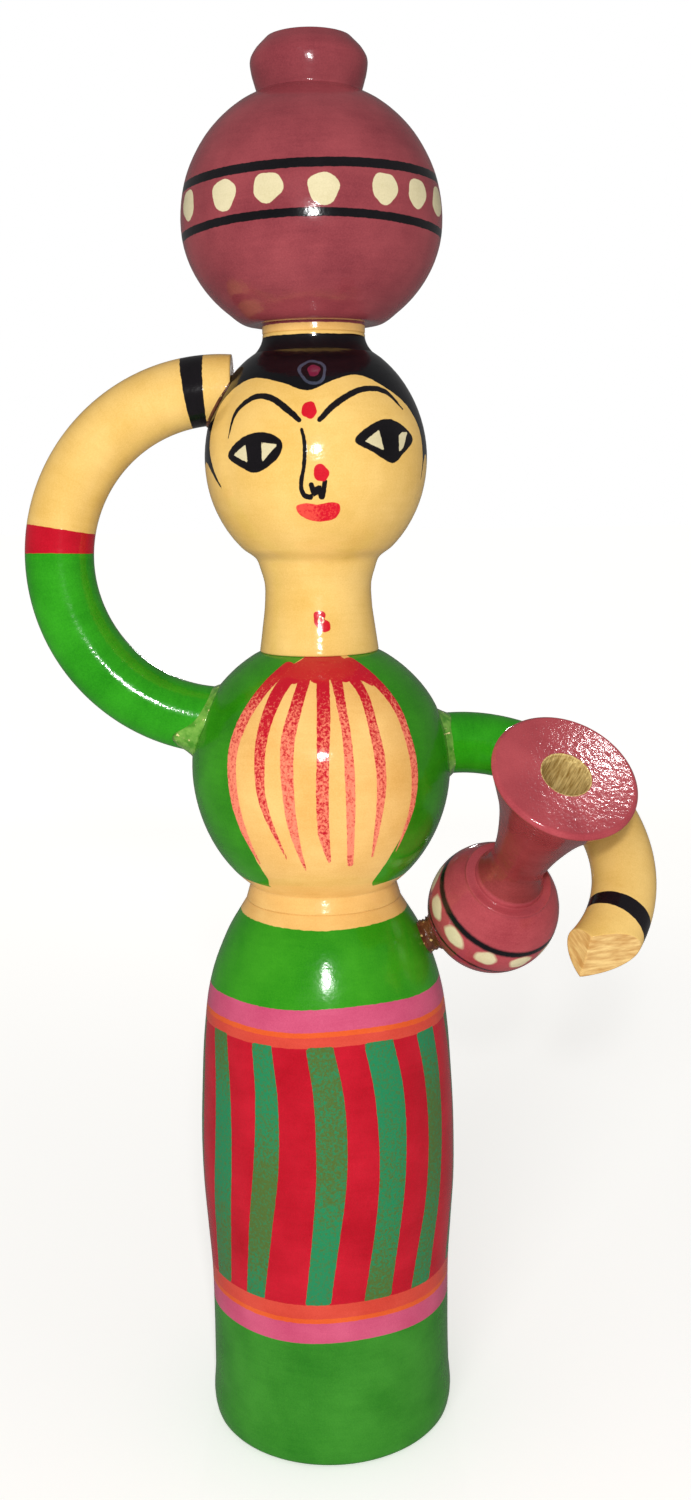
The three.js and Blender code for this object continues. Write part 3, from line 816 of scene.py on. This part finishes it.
stroke_widths = [
    [2.2, 2.4, 2.6, 2.5, 2.3, 1.7, 0.3], [2.6, 3.0, 2.6, 2.4, 1.8, 0.2], [2.4, 2.6, 2.9, 2.7, 2.1, 0.4],
    [2.6, 2.8, 2.5, 2.6, 2.4, 0.7], [2.4, 1.9, 1.8, 2.1, 1.9, 1.3], [2.4, 2.0, 2.1, 2.4, 2.1, 0.5],
    [2.4, 2.0, 1.9, 1.9, 2.0, 1.4, 0.2]]
stroke_thinness = [0.34, -0.22, 0.16, -0.12, 0.26, 0.08, 0.18]
strokes = [canvas.stroke(path, widths) for path, widths in zip(stroke_paths, stroke_widths)]
own_thinness = np.take(stroke_thinness, np.argmin(strokes, axis=0))
yoke = canvas.patch([(-14, 54.0), (-24, 52.4), (-30, 49.6), (-22, 50.6), (-15, 49.4), (-8, 50.6),
                     (-3, 49.7), (3, 49.6), (9, 50.4), (17, 49.6), (24, 50.2), (34, 48.6),
                     (31, 52.4), (22, 54.0), (4, 54.3)])
print("strokes on the blouse:", len(strokes))

# %% Paint the torso
torso_marks = {
    "panel": nearest(panel, waist),
    "red": nearest(yoke, *strokes),
    "thin": np.interp(torso["s"] - torso_foot, (12, 16, 34, 44, 50), (0.4, 0.85, 0.6, 0.2, -0.6))
            + own_thinness * np.clip((torso_foot + 52 - torso["s"]) / 6, 0, 1),
}
turned_torso = finish_turned("torso_turned", torso, torso_marks, "torso")
turned_torso.data.materials.append(lacquer("blouse_lacquer", blouse_green, [
    ("panel", *tan), ("red", *thin_red, "thin")], gloss=0.14, ripple=0.7))

# %% [markdown]
# ## The skirt
# The skirt is a tall, slightly swelling turning. Under the green hip come a pink belt, a thin orange
# line and a coral line, then the striped field, and the same belts again above the green hem. The
# stripes were drawn by eye round the turning: they lean together, and some were thinned with water.

# %% Stripes of the skirt
skirt = turn_piece(close_seam(outline_of("skirt", False, True, 0.7), below=False), columns_round(256))
skirt_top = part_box("skirt")[1].z / mm
field_top, field_bottom = skirt_top - 25.5, 38.6
hem_top = 29.6
stripe_count = 13
stripe_pitch = 360 / stripe_count
first_stripe = 1.5    # degrees from the front
stripe_lean = smooth_line([(0, -3.8), (0.2, -0.1), (0.46, 0.2), (0.72, -3.0), (1, -7.6)])

height_share = np.clip((field_top - skirt["s"]) / (field_top - field_bottom), 0, 1)
sway = np.interp(height_share, stripe_lean[:, 0], stripe_lean[:, 1])
angle_round = np.degrees(skirt["phi"])
stripe_number = np.round((angle_round - first_stripe - sway) / stripe_pitch)
own_lean = 2.6 * np.sin(2.4 * stripe_number + 0.4) * height_share
stripe_middle = first_stripe + sway + stripe_number * stripe_pitch + own_lean
stripe_half = 6.2 + 0.6 * np.sin(1.7 * stripe_number) + 0.5 * np.sin(5 * height_share + stripe_number)
across = np.radians(np.abs(angle_round - stripe_middle) - stripe_half) * skirt["r"]
print("stripes round the skirt:", len(np.unique(stripe_number % stripe_count)))

# %% Belts and paint of the skirt
wander = 0.35 * np.sin(skirt["phi"] * 2 + 1) + 0.2 * np.sin(skirt["phi"] * 5)


def band(low, high):
    """Distance to a belt between two heights, whose edges wander a little."""
    middle, half = (low + high) / 2, (high - low) / 2
    return np.abs(skirt["s"] - middle - wander) - half


skirt_marks = {
    "waist": skirt_top - 2.7 + 0.5 * np.abs(np.sin(skirt["phi"])) - skirt["s"],
    "pinks": nearest(band(skirt_top - 23.4, skirt_top - 17.9), band(hem_top, 34.9)),
    "corals": nearest(band(skirt_top - 25.8, skirt_top - 22.9), band(34.6, 38.7)),
    "oranges": nearest(band(skirt_top - 23.6, skirt_top - 22.5), band(34.3, 35.4)),
    "field": band(field_bottom, field_top),
    "stripes": np.maximum(across, band(field_bottom + 0.1, field_top - 0.1)),
    "teal": np.clip(0.55 + 0.5 * np.sin(stripe_number * 2.3 + 4.5 * height_share - 2.2)
                    + 0.25 * np.sin(9 * height_share + stripe_number), 0, 1),
    "hem": skirt["s"] - hem_top - wander,
}
turned_skirt = finish_turned("skirt_turned", skirt, skirt_marks, "skirt")
turned_skirt.data.materials.append(lacquer("skirt_lacquer", skirt_green, [
    ("waist", *tan), ("field", *crimson), ("pinks", *pink), ("corals", *coral),
    ("oranges", *orange), ("stripes", *olive_to_teal, "teal"), ("hem", *hem_green)],
    gloss=0.16, ripple=0.7))

# %% [markdown]
# ## The small pot
# The pot on the hip is another turning: a round belly, two little steps, a narrow neck, and a funnel
# with a flat rim. Its axis leans out through the bent arm. It is made upright like the others and
# then laid along that axis, so the same outline reader and the same brushwork serve again. The bore
# in the rim was drilled after painting and shows raw, torn wood.

# %% Turn the small pot
lean_turn = math.radians(-70)
lean_rise = math.radians(47)
small_axis = np.array([math.cos(lean_turn) * math.cos(lean_rise), math.sin(lean_turn) * math.cos(lean_rise),
                       math.sin(lean_rise)])
small_side = np.array([-math.sin(lean_turn), math.cos(lean_turn), 0])
small_axes = np.column_stack([small_side, np.cross(small_axis, small_side), small_axis])


def middle_of_rim(name, axes):
    """A point on the axis: the middle of the corners that lie furthest along it."""
    local = node_corners(name) @ axes
    rim = local[local[:, 2] > local[:, 2].max() - 0.05]
    return axes @ ((rim.min(axis=0) + rim.max(axis=0)) / 2)


small_origin = middle_of_rim("hip_pot", small_axes)
small_outline = outline_of("hip_pot", False, True, 0.45, small_origin, small_axes)
small = turn_piece(small_outline, columns_round(232), 0.05)
belly = small["outline"][:, 1].min() + 13.5    # height of the middle of the round belly
canvas = Canvas(small, belly)
ragged = np.random.default_rng(11).uniform(-1, 1, small["r"].shape)


def tear_bore(grid):
    """Pits and torn fibres on the floor and wall of the drilled hole. The rim is at height zero."""
    wall = 4.8    # from this radius on it is the wall of the hole
    deep = (grid["s"] < -1) & (grid["r"] < bore_limit) & (grid["s"] > -20)
    lumps = gentle_noise(grid["phi"], grid["r"] * 5, 7, 7)
    grid["s"] = grid["s"] + np.where(deep & (grid["r"] < wall), 1.4 * lumps + 0.25 * ragged, 0)
    grid["grow"] = grid["grow"] + np.where(deep & (grid["r"] > wall), 0.25 * lumps - 0.2, 0)


tear_bore(small)

# %% Paint the small pot
def askew_line(middle, lean, width):
    height = belly + middle + lean * np.cos(small["phi"] + math.radians(110))
    return np.abs(canvas.v - height_to_way(small, height)) - width / 2


small_dots = [canvas.dot(angle, 0.9 + 1.7 * math.cos(math.radians(angle + 110)),
                         2.7 + 0.3 * math.sin(angle), 2.05, 15 * math.sin(2 * angle))
              for angle in (-123, -91, -60, -27, 6, 38, 71, 104, 137, 170, -156)]
rim_edge = height_to_way(small, -0.9)
neck_foot = height_to_way(small, belly + 13.2)
small_marks = {
    # The neck and the outside of the funnel, from the step on the belly up to just under the rim, get a
    # darker coat: painted shade under the overhanging rim.
    "neck_shade": np.abs(small["v"] - (rim_edge + neck_foot) / 2) - (rim_edge - neck_foot) / 2,
    "lines": nearest(askew_line(3.9, 1.9, 1.6), askew_line(-3.7, 2.2, 0.9)),
    "dots": nearest(*small_dots),
    "bore": past_edge(small, inset=bore_limit - 5.0),
}
small_pot = finish_turned("hip_pot_turned", small, small_marks, "hip_pot",
                          small_origin, small_axes)
# The darker neck coat is painted shade where the funnel hangs over the neck, not a paint of its own.
small_pot.data.materials.append(lacquer("small_pot_lacquer", (srgb(150, 56, 64), srgb(184, 80, 86)), [
    ("neck_shade", srgb(118, 40, 40), srgb(152, 62, 62)), ("lines", *black), ("dots", *cream)],
    gloss=0.12, bare="bore", ripple=1.1, soft=0.3))

# %% [markdown]
# ## The bent arms
# Each arm is a straight rod that was steamed and bent, so it follows part of a ring. A curve with a
# bevel would draw that, but its ends would be cut square, and these ends are not: the shoulder is
# scooped out to sit on the round of the torso, and the hands are sawn or whittled. So each line along
# the arm is followed round the ring until it meets the torso, the head or a knife cut.

# %% Read an arm's ring
def ring_axes(turn, tilt):
    turned = Matrix.Rotation(math.radians(turn), 3, "Z") @ Matrix.Rotation(math.radians(tilt), 3, "X")
    return np.array(turned)


def read_arm(name, axes):
    """Middle, radius and thickness of the bent rod, and how far it reaches round its ring."""
    local = node_corners(name) @ axes
    low, high = local[:, 1].min(), local[:, 1].max()
    thick = (high - low) / 2
    crest = local[np.abs(local[:, 1] - (high + low) / 2) > thick - 0.02]
    sums = np.column_stack([2 * crest[:, 0], 2 * crest[:, 2], np.ones(len(crest))])
    fit = np.linalg.lstsq(sums, crest[:, 0]**2 + crest[:, 2]**2, rcond=None)[0]
    middle = np.array([fit[0], (high + low) / 2, fit[1]])
    radius = math.sqrt(fit[2] + fit[0]**2 + fit[1]**2)
    print(name, "is a rod", round(2 * thick, 1), "mm thick on a ring of radius", round(radius, 1))
    return {"axes": axes, "middle": middle, "radius": radius, "thick": thick}


def arm_places(arm, theta, rho, phi):
    """Points at an angle round the ring, and at a distance and an angle round the rod's own middle."""
    out = arm["radius"] + rho * np.cos(phi)
    local = np.stack([out * np.cos(theta), rho * np.sin(phi) + 0 * theta, out * np.sin(theta)], axis=-1)
    return (local + arm["middle"]) @ arm["axes"].T


raised = read_arm("raised_arm", ring_axes(0, 0))
lowered = read_arm("lowered_arm", ring_axes(10, -45))

# %% What stops an arm
touch = 0.03          # the arms stop this far outside the torso and the head, in millimetres
smallest_cut = 40     # smaller flat faces, in square millimetres, belong to the round of the rod
search_steps = 700    # places looked at along each line of the rod


def clear_of_turning(grid, foot_gap):
    """A test that says how far a point is outside another turned piece."""
    outside = grid["outline"][grid["outline"][:, 0] > bore_limit]
    return lambda points: (np.hypot(points[..., 0], points[..., 1]) - foot_gap
                           - np.interp(points[..., 2], outside[:, 1], outside[:, 0]))


def read_cuts(name, arm):
    """Tests for the large flat faces of an arm, where a saw or a knife cut it."""
    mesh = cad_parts[name].data
    ring_axis = arm["axes"][:, 1]
    planes = {}
    for face in mesh.polygons:
        normal = np.array(face.normal)
        offset = float(normal @ np.array(face.center)) / mm
        key = tuple(np.round(normal * 25).astype(int)) + (round(offset * 2),)
        area, _, _ = planes.get(key, (0, None, None))
        planes[key] = (area + face.area / mm**2, normal, offset)
    cuts = [(normal, offset) for area, normal, offset in planes.values()
            if area > smallest_cut and abs(normal @ ring_axis) < 0.95]
    print(name, "has", len(cuts), "flat cuts")
    return [lambda points, n=normal, o=offset: o - points @ n for normal, offset in cuts]


def run_until(arm, start, end, rho, phi, tests):
    """How far round the ring each line of the rod goes before one of the tests stops it."""
    theta = np.linspace(start, end, search_steps)
    rho, phi = np.broadcast_arrays(rho, phi)
    points = arm_places(arm, theta, rho[..., None], phi[..., None])
    free = np.minimum.reduce([test(points) for test in tests])
    hit = np.argmax(free < 0, axis=-1)
    hit = np.where((free < 0).any(axis=-1), np.maximum(hit, 1), len(theta) - 1)
    before = np.take_along_axis(free, hit[..., None] - 1, -1)[..., 0]
    after = np.take_along_axis(free, hit[..., None], -1)[..., 0]
    share = np.clip(before / (before - after + 1e-9), 0, 1)
    return theta[hit - 1] + share * (theta[hit] - theta[hit - 1])


hand_cuts = read_cuts("lowered_arm", lowered)
saw_cuts = read_cuts("raised_arm", raised)

# %% Build an arm
def build_arm(name, arm, middle_angle, hand_angle, hand_tests, shoulder_angle, shoulder_tests):
    columns, rows, cap_rows = 112, 260, 30
    phi = np.arange(columns) * 2 * math.pi / columns
    cap = (arm["thick"] * (np.arange(1, cap_rows) / cap_rows))[:, None]
    start, hand_end, shoulder_end = (math.radians(a) for a in (middle_angle, hand_angle, shoulder_angle))
    hand_cap = run_until(arm, start, hand_end, cap, phi[None], hand_tests)
    hand_rim = run_until(arm, start, hand_end, arm["thick"], phi, hand_tests)
    shoulder_rim = run_until(arm, start, shoulder_end, arm["thick"], phi, shoulder_tests)
    shoulder_cap = run_until(arm, start, shoulder_end, cap[::-1], phi[None], shoulder_tests)
    share = np.linspace(0, 1, rows)[:, None]
    theta = np.vstack([hand_cap, hand_rim + share * (shoulder_rim - hand_rim), shoulder_cap])
    rho = np.vstack([np.repeat(cap, columns, 1), np.full((rows, columns), arm["thick"]),
                     np.repeat(cap[::-1], columns, 1)])
    phi_grid = np.repeat(phi[None], len(theta), 0)
    swell = np.where(rho > arm["thick"] - 0.01, 0.07 * gentle_noise(phi_grid, theta * 20, 8, 4), 0)
    points = arm_places(arm, theta, rho + swell, phi_grid).reshape(-1, 3)
    ends = [arm_places(arm, run_until(arm, start, end, 0.0, 0.0, tests), 0.0, 0.0)
            for end, tests in ((hand_end, hand_tests), (shoulder_end, shoulder_tests))]
    points = np.vstack([points] + [np.reshape(end, (1, 3)) for end in ends])
    faces = grid_faces(len(theta), columns)
    if hand_angle > shoulder_angle:
        faces = [face[::-1] for face in faces]
    way = np.abs(theta - hand_rim) * arm["radius"]
    inward = np.where(rho < arm["thick"] - 0.01, rho - arm["thick"], way)
    cut = np.where(np.arange(len(theta))[:, None] < cap_rows + rows // 2, inward, 50)
    return {"name": name, "points": points, "faces": faces, "theta": theta, "rho": rho, "phi": phi_grid,
            "cut": cut, "hand_rim": hand_rim, "shoulder_rim": shoulder_rim, "columns": phi}


def ring_band(arm, built, middle, width, skew=0.0, skew_from=0.0):
    """Distance to a belt painted round the rod, slightly askew."""
    centre = math.radians(middle) + math.radians(skew) * np.cos(built["phi"] - math.radians(skew_from))
    return np.abs(built["theta"] - centre) * arm["radius"] - width / 2


def beyond(arm, built, angle):
    """Below zero on the hand's side of an angle round the ring."""
    towards_hand = 1 if built["hand_rim"].mean() < built["shoulder_rim"].mean() else -1
    return towards_hand * (built["theta"] - math.radians(angle)) * arm["radius"]


def finish_arm(arm, built, marks, replaces):
    own = np.stack([built["rho"] * np.sin(built["phi"]), built["rho"] * np.cos(built["phi"]),
                    built["theta"] * arm["radius"]], axis=-1).reshape(-1, 3)
    full = with_ends(marks)
    full["own"] = np.vstack([own, own[:1], own[-1:]])
    return make_piece(built["name"], built["points"], built["faces"], full, replaces)


# %% The raised arm and the lowered arm
on_the_torso = clear_of_turning(torso, touch)
on_the_head = clear_of_turning(head, touch)
raised_build = build_arm("raised_arm_bent", raised, 170, 70, [on_the_head] + saw_cuts, 290, [on_the_torso])
raised_marks = {
    "bare_arm": beyond(raised, raised_build, 169.5),
    "trim": ring_band(raised, raised_build, 173.3, 5.2, 0.7, 60),
    "bangle": ring_band(raised, raised_build, 97.9, 4.1, -0.5, 0),
    "cut": raised_build["cut"] + 0.05,
}
raised_arm = finish_arm(raised, raised_build, raised_marks, "raised_arm")

lowered_build = build_arm("lowered_arm_bent", lowered, 10, -75, hand_cuts, 120, [on_the_torso])
lowered_marks = {
    "bare_arm": beyond(lowered, lowered_build, 30),
    "trim": ring_band(lowered, lowered_build, 32, 3.0),
    "bangle": ring_band(lowered, lowered_build, -32.0, 3.6, 1.5, -140),
    "cut": lowered_build["cut"] + 0.05,
}
lowered_arm = finish_arm(lowered, lowered_build, lowered_marks, "lowered_arm")

sleeve = lacquer("sleeve_lacquer", arm_green, [
    ("bare_arm", *skin), ("trim", *crimson), ("bangle", *black)],
    gloss=0.13, ripple=0.9, bare="cut", wood=whittled_wood)
raised_arm.data.materials.append(sleeve)
lowered_arm.data.materials.append(sleeve)

# %% [markdown]
# ## Dried glue
# The arms sit in their joints with glue that was squeezed out and never wiped off: a pale green bead
# round each shoulder, thick where it ran, and a brown lump between hip and small pot. Spheres dropped on
# the joint would float or sink. So a bead is built from cross-sections placed along the joint itself,
# each one lying in the corner of the joint.

# %% Beads of glue
spread = np.random.default_rng(23)


def unit(vectors):
    return vectors / np.linalg.norm(vectors, axis=-1, keepdims=True)


def run_faces(rows, columns):
    """Quads for sections that run full circle and meet themselves."""
    i, j = np.meshgrid(np.arange(rows), np.arange(columns), indexing="ij")
    k, n = (j + 1) % columns, (i + 1) % rows
    quads = np.stack([i * columns + j, i * columns + k, n * columns + k, n * columns + j], -1)
    return quads.reshape(-1, 4).tolist()


def facing_out(points, faces):
    """The faces as they are, or all turned over if they enclose their volume from the wrong side."""
    volume = sum(np.dot(points[face[0]], np.cross(points[face[i]], points[face[i + 1]]))
                 for face in faces for i in range(1, len(face) - 1))
    return faces if volume > 0 else [face[::-1] for face in faces]


def make_bead(name, sections, closed, replaces, finish):
    rows, columns = sections.shape[:2]
    points = sections.reshape(-1, 3)
    faces = run_faces(rows, columns)
    if not closed:
        points = np.vstack([points, [sections[0].mean(axis=0), sections[-1].mean(axis=0)]])
        faces = grid_faces(rows, columns)
    faces = facing_out(points - points.mean(axis=0), faces)
    bead = make_piece(name, points, faces, {"own": points}, replaces)
    bead.data.materials.append(finish)


def outward_at(points, clear):
    """The direction straight out of a turned piece, felt with small steps."""
    step = 0.05
    slopes = [(clear(points + axis) - clear(points - axis)) for axis in np.eye(3) * step]
    return unit(np.stack(slopes, axis=-1))


def soft_unevenness(angle, waves=7, highest=9):
    total = np.zeros(angle.shape)
    for _ in range(waves):
        total += np.sin(spread.integers(2, highest) * angle + spread.uniform(0, 2 * math.pi)) / waves
    return total


def bead_round_arm(arm, built, clear, run_at, run_length):
    """Sections of a bead in the corner between an arm and the piece that it is glued to."""
    phi, rim = built["columns"], built["shoulder_rim"]
    foot = arm_places(arm, rim, arm["thick"] + 0.0 * phi, phi)
    off_rod = unit(arm_places(arm, rim, arm["thick"] + 1.0, phi) - foot)
    to_hand = math.copysign(0.02, built["hand_rim"].mean() - rim.mean())
    up_arm = unit(arm_places(arm, rim + to_hand, arm["thick"] + 0.0 * phi, phi) - foot)
    off_body = outward_at(foot, clear)
    on_body = unit(off_rod - (off_rod * off_body).sum(-1, keepdims=True) * off_body)
    run = np.exp(-((phi - math.radians(run_at) + math.pi) % (2 * math.pi) - math.pi) ** 2 / 0.35)
    on_arm_width = (1.25 + 0.5 * soft_unevenness(phi) + run_length * run)[:, None]
    on_body_width = (1.05 + 0.45 * soft_unevenness(phi) + 0.5 * run)[:, None]
    first = foot + up_arm * on_arm_width - off_rod * 0.10
    last = foot + on_body * on_body_width - off_body * 0.14
    middle = foot + 0.40 * (up_arm * on_arm_width + on_body * on_body_width)
    share = np.linspace(0, 1, 10)[:, None, None]
    curve = (1 - share) ** 2 * first + 2 * share * (1 - share) * middle + share ** 2 * last
    inner = foot - 0.25 * off_rod - 0.25 * off_body
    return np.concatenate([curve, inner[None]]).transpose(1, 0, 2)


# %% Materials of glue, wood and wire
def glue_finish(name, thin, thick, fleck, gloss=0.14):
    """Old glue: clear and tinted by what is under it, with a few pale flecks where it dried."""
    sheet = Sheet(name)
    flat = sheet.own_place((1, 1, 1))
    cloud = sheet.noise(flat, 0.5, 4, 0.6)
    specks = sheet.ramp(sheet.noise(flat, 0.9, 2, 0.5), 0.66, 0.69)
    colour = sheet.blend(sheet.ramp(cloud, 0.35, 0.65), thin, thick)
    lump = sheet.math("ADD", sheet.noise(flat, 1.2, 3), sheet.math("MULTIPLY", specks, 0.6))
    rough = sheet.ramp(cloud, 0.3, 0.7, gloss * 0.7, gloss * 1.6)
    sheet.shader.inputs["Coat Weight"].default_value = 0.6
    sheet.shader.inputs["Coat Roughness"].default_value = 0.06
    return sheet.finish(sheet.blend(specks, colour, fleck), rough, lump, 1.0, 0.00022)


green_glue = glue_finish("green_glue", srgb(72, 140, 34), srgb(128, 180, 74), srgb(232, 226, 150))
brown_glue = glue_finish("brown_glue", srgb(70, 36, 20), srgb(112, 62, 36), srgb(206, 168, 104), 0.2)

# %% Lay the beads
for side, arm, built, run_at, run_length in (("raised", raised, raised_build, 305, 3.6),
                                             ("lowered", lowered, lowered_build, 300, 1.2)):
    make_bead(side + "_shoulder_bead", bead_round_arm(arm, built, on_the_torso, run_at, run_length),
              True, side + "_shoulder_glue", green_glue)

ball_middle = small_origin + small_axis * belly
glue_middle = sum((np.array(end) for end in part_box("hip_pot_glue")), np.zeros(3)) / 2 / mm
hip_out = unit(ball_middle - glue_middle)
lump_side = unit(np.cross(hip_out, [0, 0, 1]))
lump_up = np.cross(hip_out, lump_side)
lump_angle = np.linspace(0, 2 * math.pi, 48, endpoint=False)
across_lump = np.cos(lump_angle)[:, None] * lump_side + 1.15 * np.sin(lump_angle)[:, None] * lump_up
lump_rows = []
for way in np.linspace(-2.4, 2.4, 15):
    width = 3.1 + 0.26 * way**2 + 0.5 * soft_unevenness(lump_angle, 5, 6)
    lump_rows.append(glue_middle + hip_out * way + width[:, None] * across_lump)
make_bead("hip_pot_lump", np.array(lump_rows), False, "hip_pot_glue", brown_glue)

# %% [markdown]
# ## Varnish at the hand
# The raised hand is stuck to the hair, and brown varnish ran into the line where they touch. It could be
# painted on the hair, but it stands up a little and catches the light. So it is a thin thread: the places
# on the edge of the hand that touch the head are put in order, and a small circle is carried along them.

# %% Varnish between hand and hair
hand_line = arm_places(raised, raised_build["hand_rim"], raised["thick"] + 0.0 * raised_build["columns"],
                       raised_build["columns"])
still_touches = 0.12    # millimetres from the head
touches = np.nonzero(np.abs(on_the_head(hand_line)) < still_touches)[0]
gap_at = np.argmax(np.diff(touches, append=touches[0] + len(hand_line)))
touches = np.roll(touches, -gap_at - 1)
line = hand_line[touches]
forward = unit(np.gradient(line, axis=0))
off_head = outward_at(line, on_the_head)
sideways = np.cross(forward, off_head)
taper = np.sin(np.linspace(0.05, math.pi - 0.05, len(line))) ** 0.5
thickness = (0.42 + 0.12 * soft_unevenness(np.linspace(0, 2 * math.pi, len(line)))) * taper
round_line = np.linspace(0, 2 * math.pi, 12, endpoint=False)[None, :, None]
thread = line[:, None] + thickness[:, None, None] * (np.cos(round_line) * off_head[:, None] * 1.2
                                                     + np.sin(round_line) * sideways[:, None])
make_bead("hand_varnish", thread, False, None, brown_glue)

# %% [markdown]
# ## Paint at the crown
# The foot of the water pot stands on a small flat on the crown, and hair colour gathered thickly in the
# corner between them. A sharp corner there would look like two machined parts. So the corner is filled
# with a hollow ring: it starts on the ball of the head, curves up, and ends on the foot of the pot.

# %% Paint in the corner of the crown
above_brow = head["outline"][head["outline"][:, 1] > head_foot + 50]
crown_radius = above_brow[above_brow[:, 1] > above_brow[:, 1].max() - 0.3, 0].max()
corner_at = np.argmax(np.abs(above_brow[:, 0] - crown_radius) < 0.03)
crown_corner = above_brow[corner_at]
ball = above_brow[:corner_at]
from_corner = np.linalg.norm(ball - crown_corner, axis=1)
crown_angle = np.linspace(0, 2 * math.pi, 160, endpoint=False)
reach = 2.4 + 0.35 * soft_unevenness(crown_angle, 5, 6)
on_ball = np.stack([np.interp(reach, from_corner[::-1], ball[::-1, k]) for k in (0, 1)], -1)
on_foot = crown_corner + np.stack([-0.05 + 0 * reach, 0.85 * reach], -1)
bend = np.linspace(0, 1, 9)[None, :, None]
hollow = ((1 - bend) ** 2 * (on_ball - (0.03, 0.10))[:, None]
          + 2 * bend * (1 - bend) * (crown_corner + (0.18, 0.12)) + bend ** 2 * on_foot[:, None])
hidden = np.broadcast_to(crown_corner - (0.5, 0.5), (len(crown_angle), 1, 2))
profile = np.concatenate([hollow, hidden], axis=1)
out, up = profile[..., 0], profile[..., 1]
crown_ring = np.stack([out * np.sin(crown_angle)[:, None], -out * np.cos(crown_angle)[:, None], up], -1)
make_bead("crown_paint", crown_ring, True, None,
          lacquer("crown_lacquer", hair_black, [], gloss=0.32, ripple=0.7))
print("the paint in the corner of the crown is", round(float(reach.mean()), 1), "mm wide")

# %% [markdown]
# ## Dowels and pins
# Inside the doll are three wooden dowels and three iron pins. Nobody sees them once it is glued, but
# they are real pieces, so they keep the frame's own shape and get a finish: split-straight grain along
# the dowel, and drawn wire with a little rust for the pins.

# %% Wood and wire
def within(sheet, stretch):
    """The place on a piece of the frame in millimetres; those pieces carry no marks of their own."""
    place = sheet.node("ShaderNodeTexCoord").outputs["Object"]
    return sheet.node("ShaderNodeVectorMath", {0: place, 1: tuple(s / mm for s in stretch)},
                      operation="MULTIPLY").outputs[0]


def dowel_wood():
    sheet = Sheet("dowel_wood")
    grain = sheet.noise(within(sheet, (1, 1, 0.07)), 1.1, 5, 0.6)
    pores = sheet.noise(within(sheet, (3, 3, 0.3)), 2.0, 2)
    colour = sheet.blend(sheet.ramp(grain, 0.35, 0.68), srgb(176, 132, 78), srgb(226, 190, 138))
    rough = sheet.ramp(pores, 0.3, 0.7, 0.55, 0.85)
    return sheet.finish(colour, rough, grain, 0.6, 0.0001)


def pin_wire():
    sheet = Sheet("pin_wire")
    rust = sheet.ramp(sheet.noise(within(sheet, (1, 1, 1)), 0.8, 5, 0.65), 0.52, 0.64)
    drawn = sheet.noise(within(sheet, (1, 1, 1)), 6.0, 2)
    steel = sheet.blend(sheet.ramp(drawn, 0.3, 0.7), srgb(92, 92, 96), srgb(138, 138, 140))
    sheet.plug(sheet.shader.inputs["Metallic"], sheet.ramp(rust, 0, 1, 1, 0.1))
    colour = sheet.blend(rust, steel, srgb(112, 62, 34))
    return sheet.finish(colour, sheet.ramp(rust, 0, 1, 0.32, 0.85), drawn, 0.4, 0.00004)


def dress(finish, *names):
    for name in names:
        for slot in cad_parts[name].material_slots:
            slot.material = finish
    print(finish.name, "is on", len(names), "pieces")


dress(dowel_wood(), "waist_dowel", "neck_dowel", "pot_dowel")
dress(pin_wire(), "raised_shoulder_pin", "lowered_shoulder_pin", "hip_pot_pin")
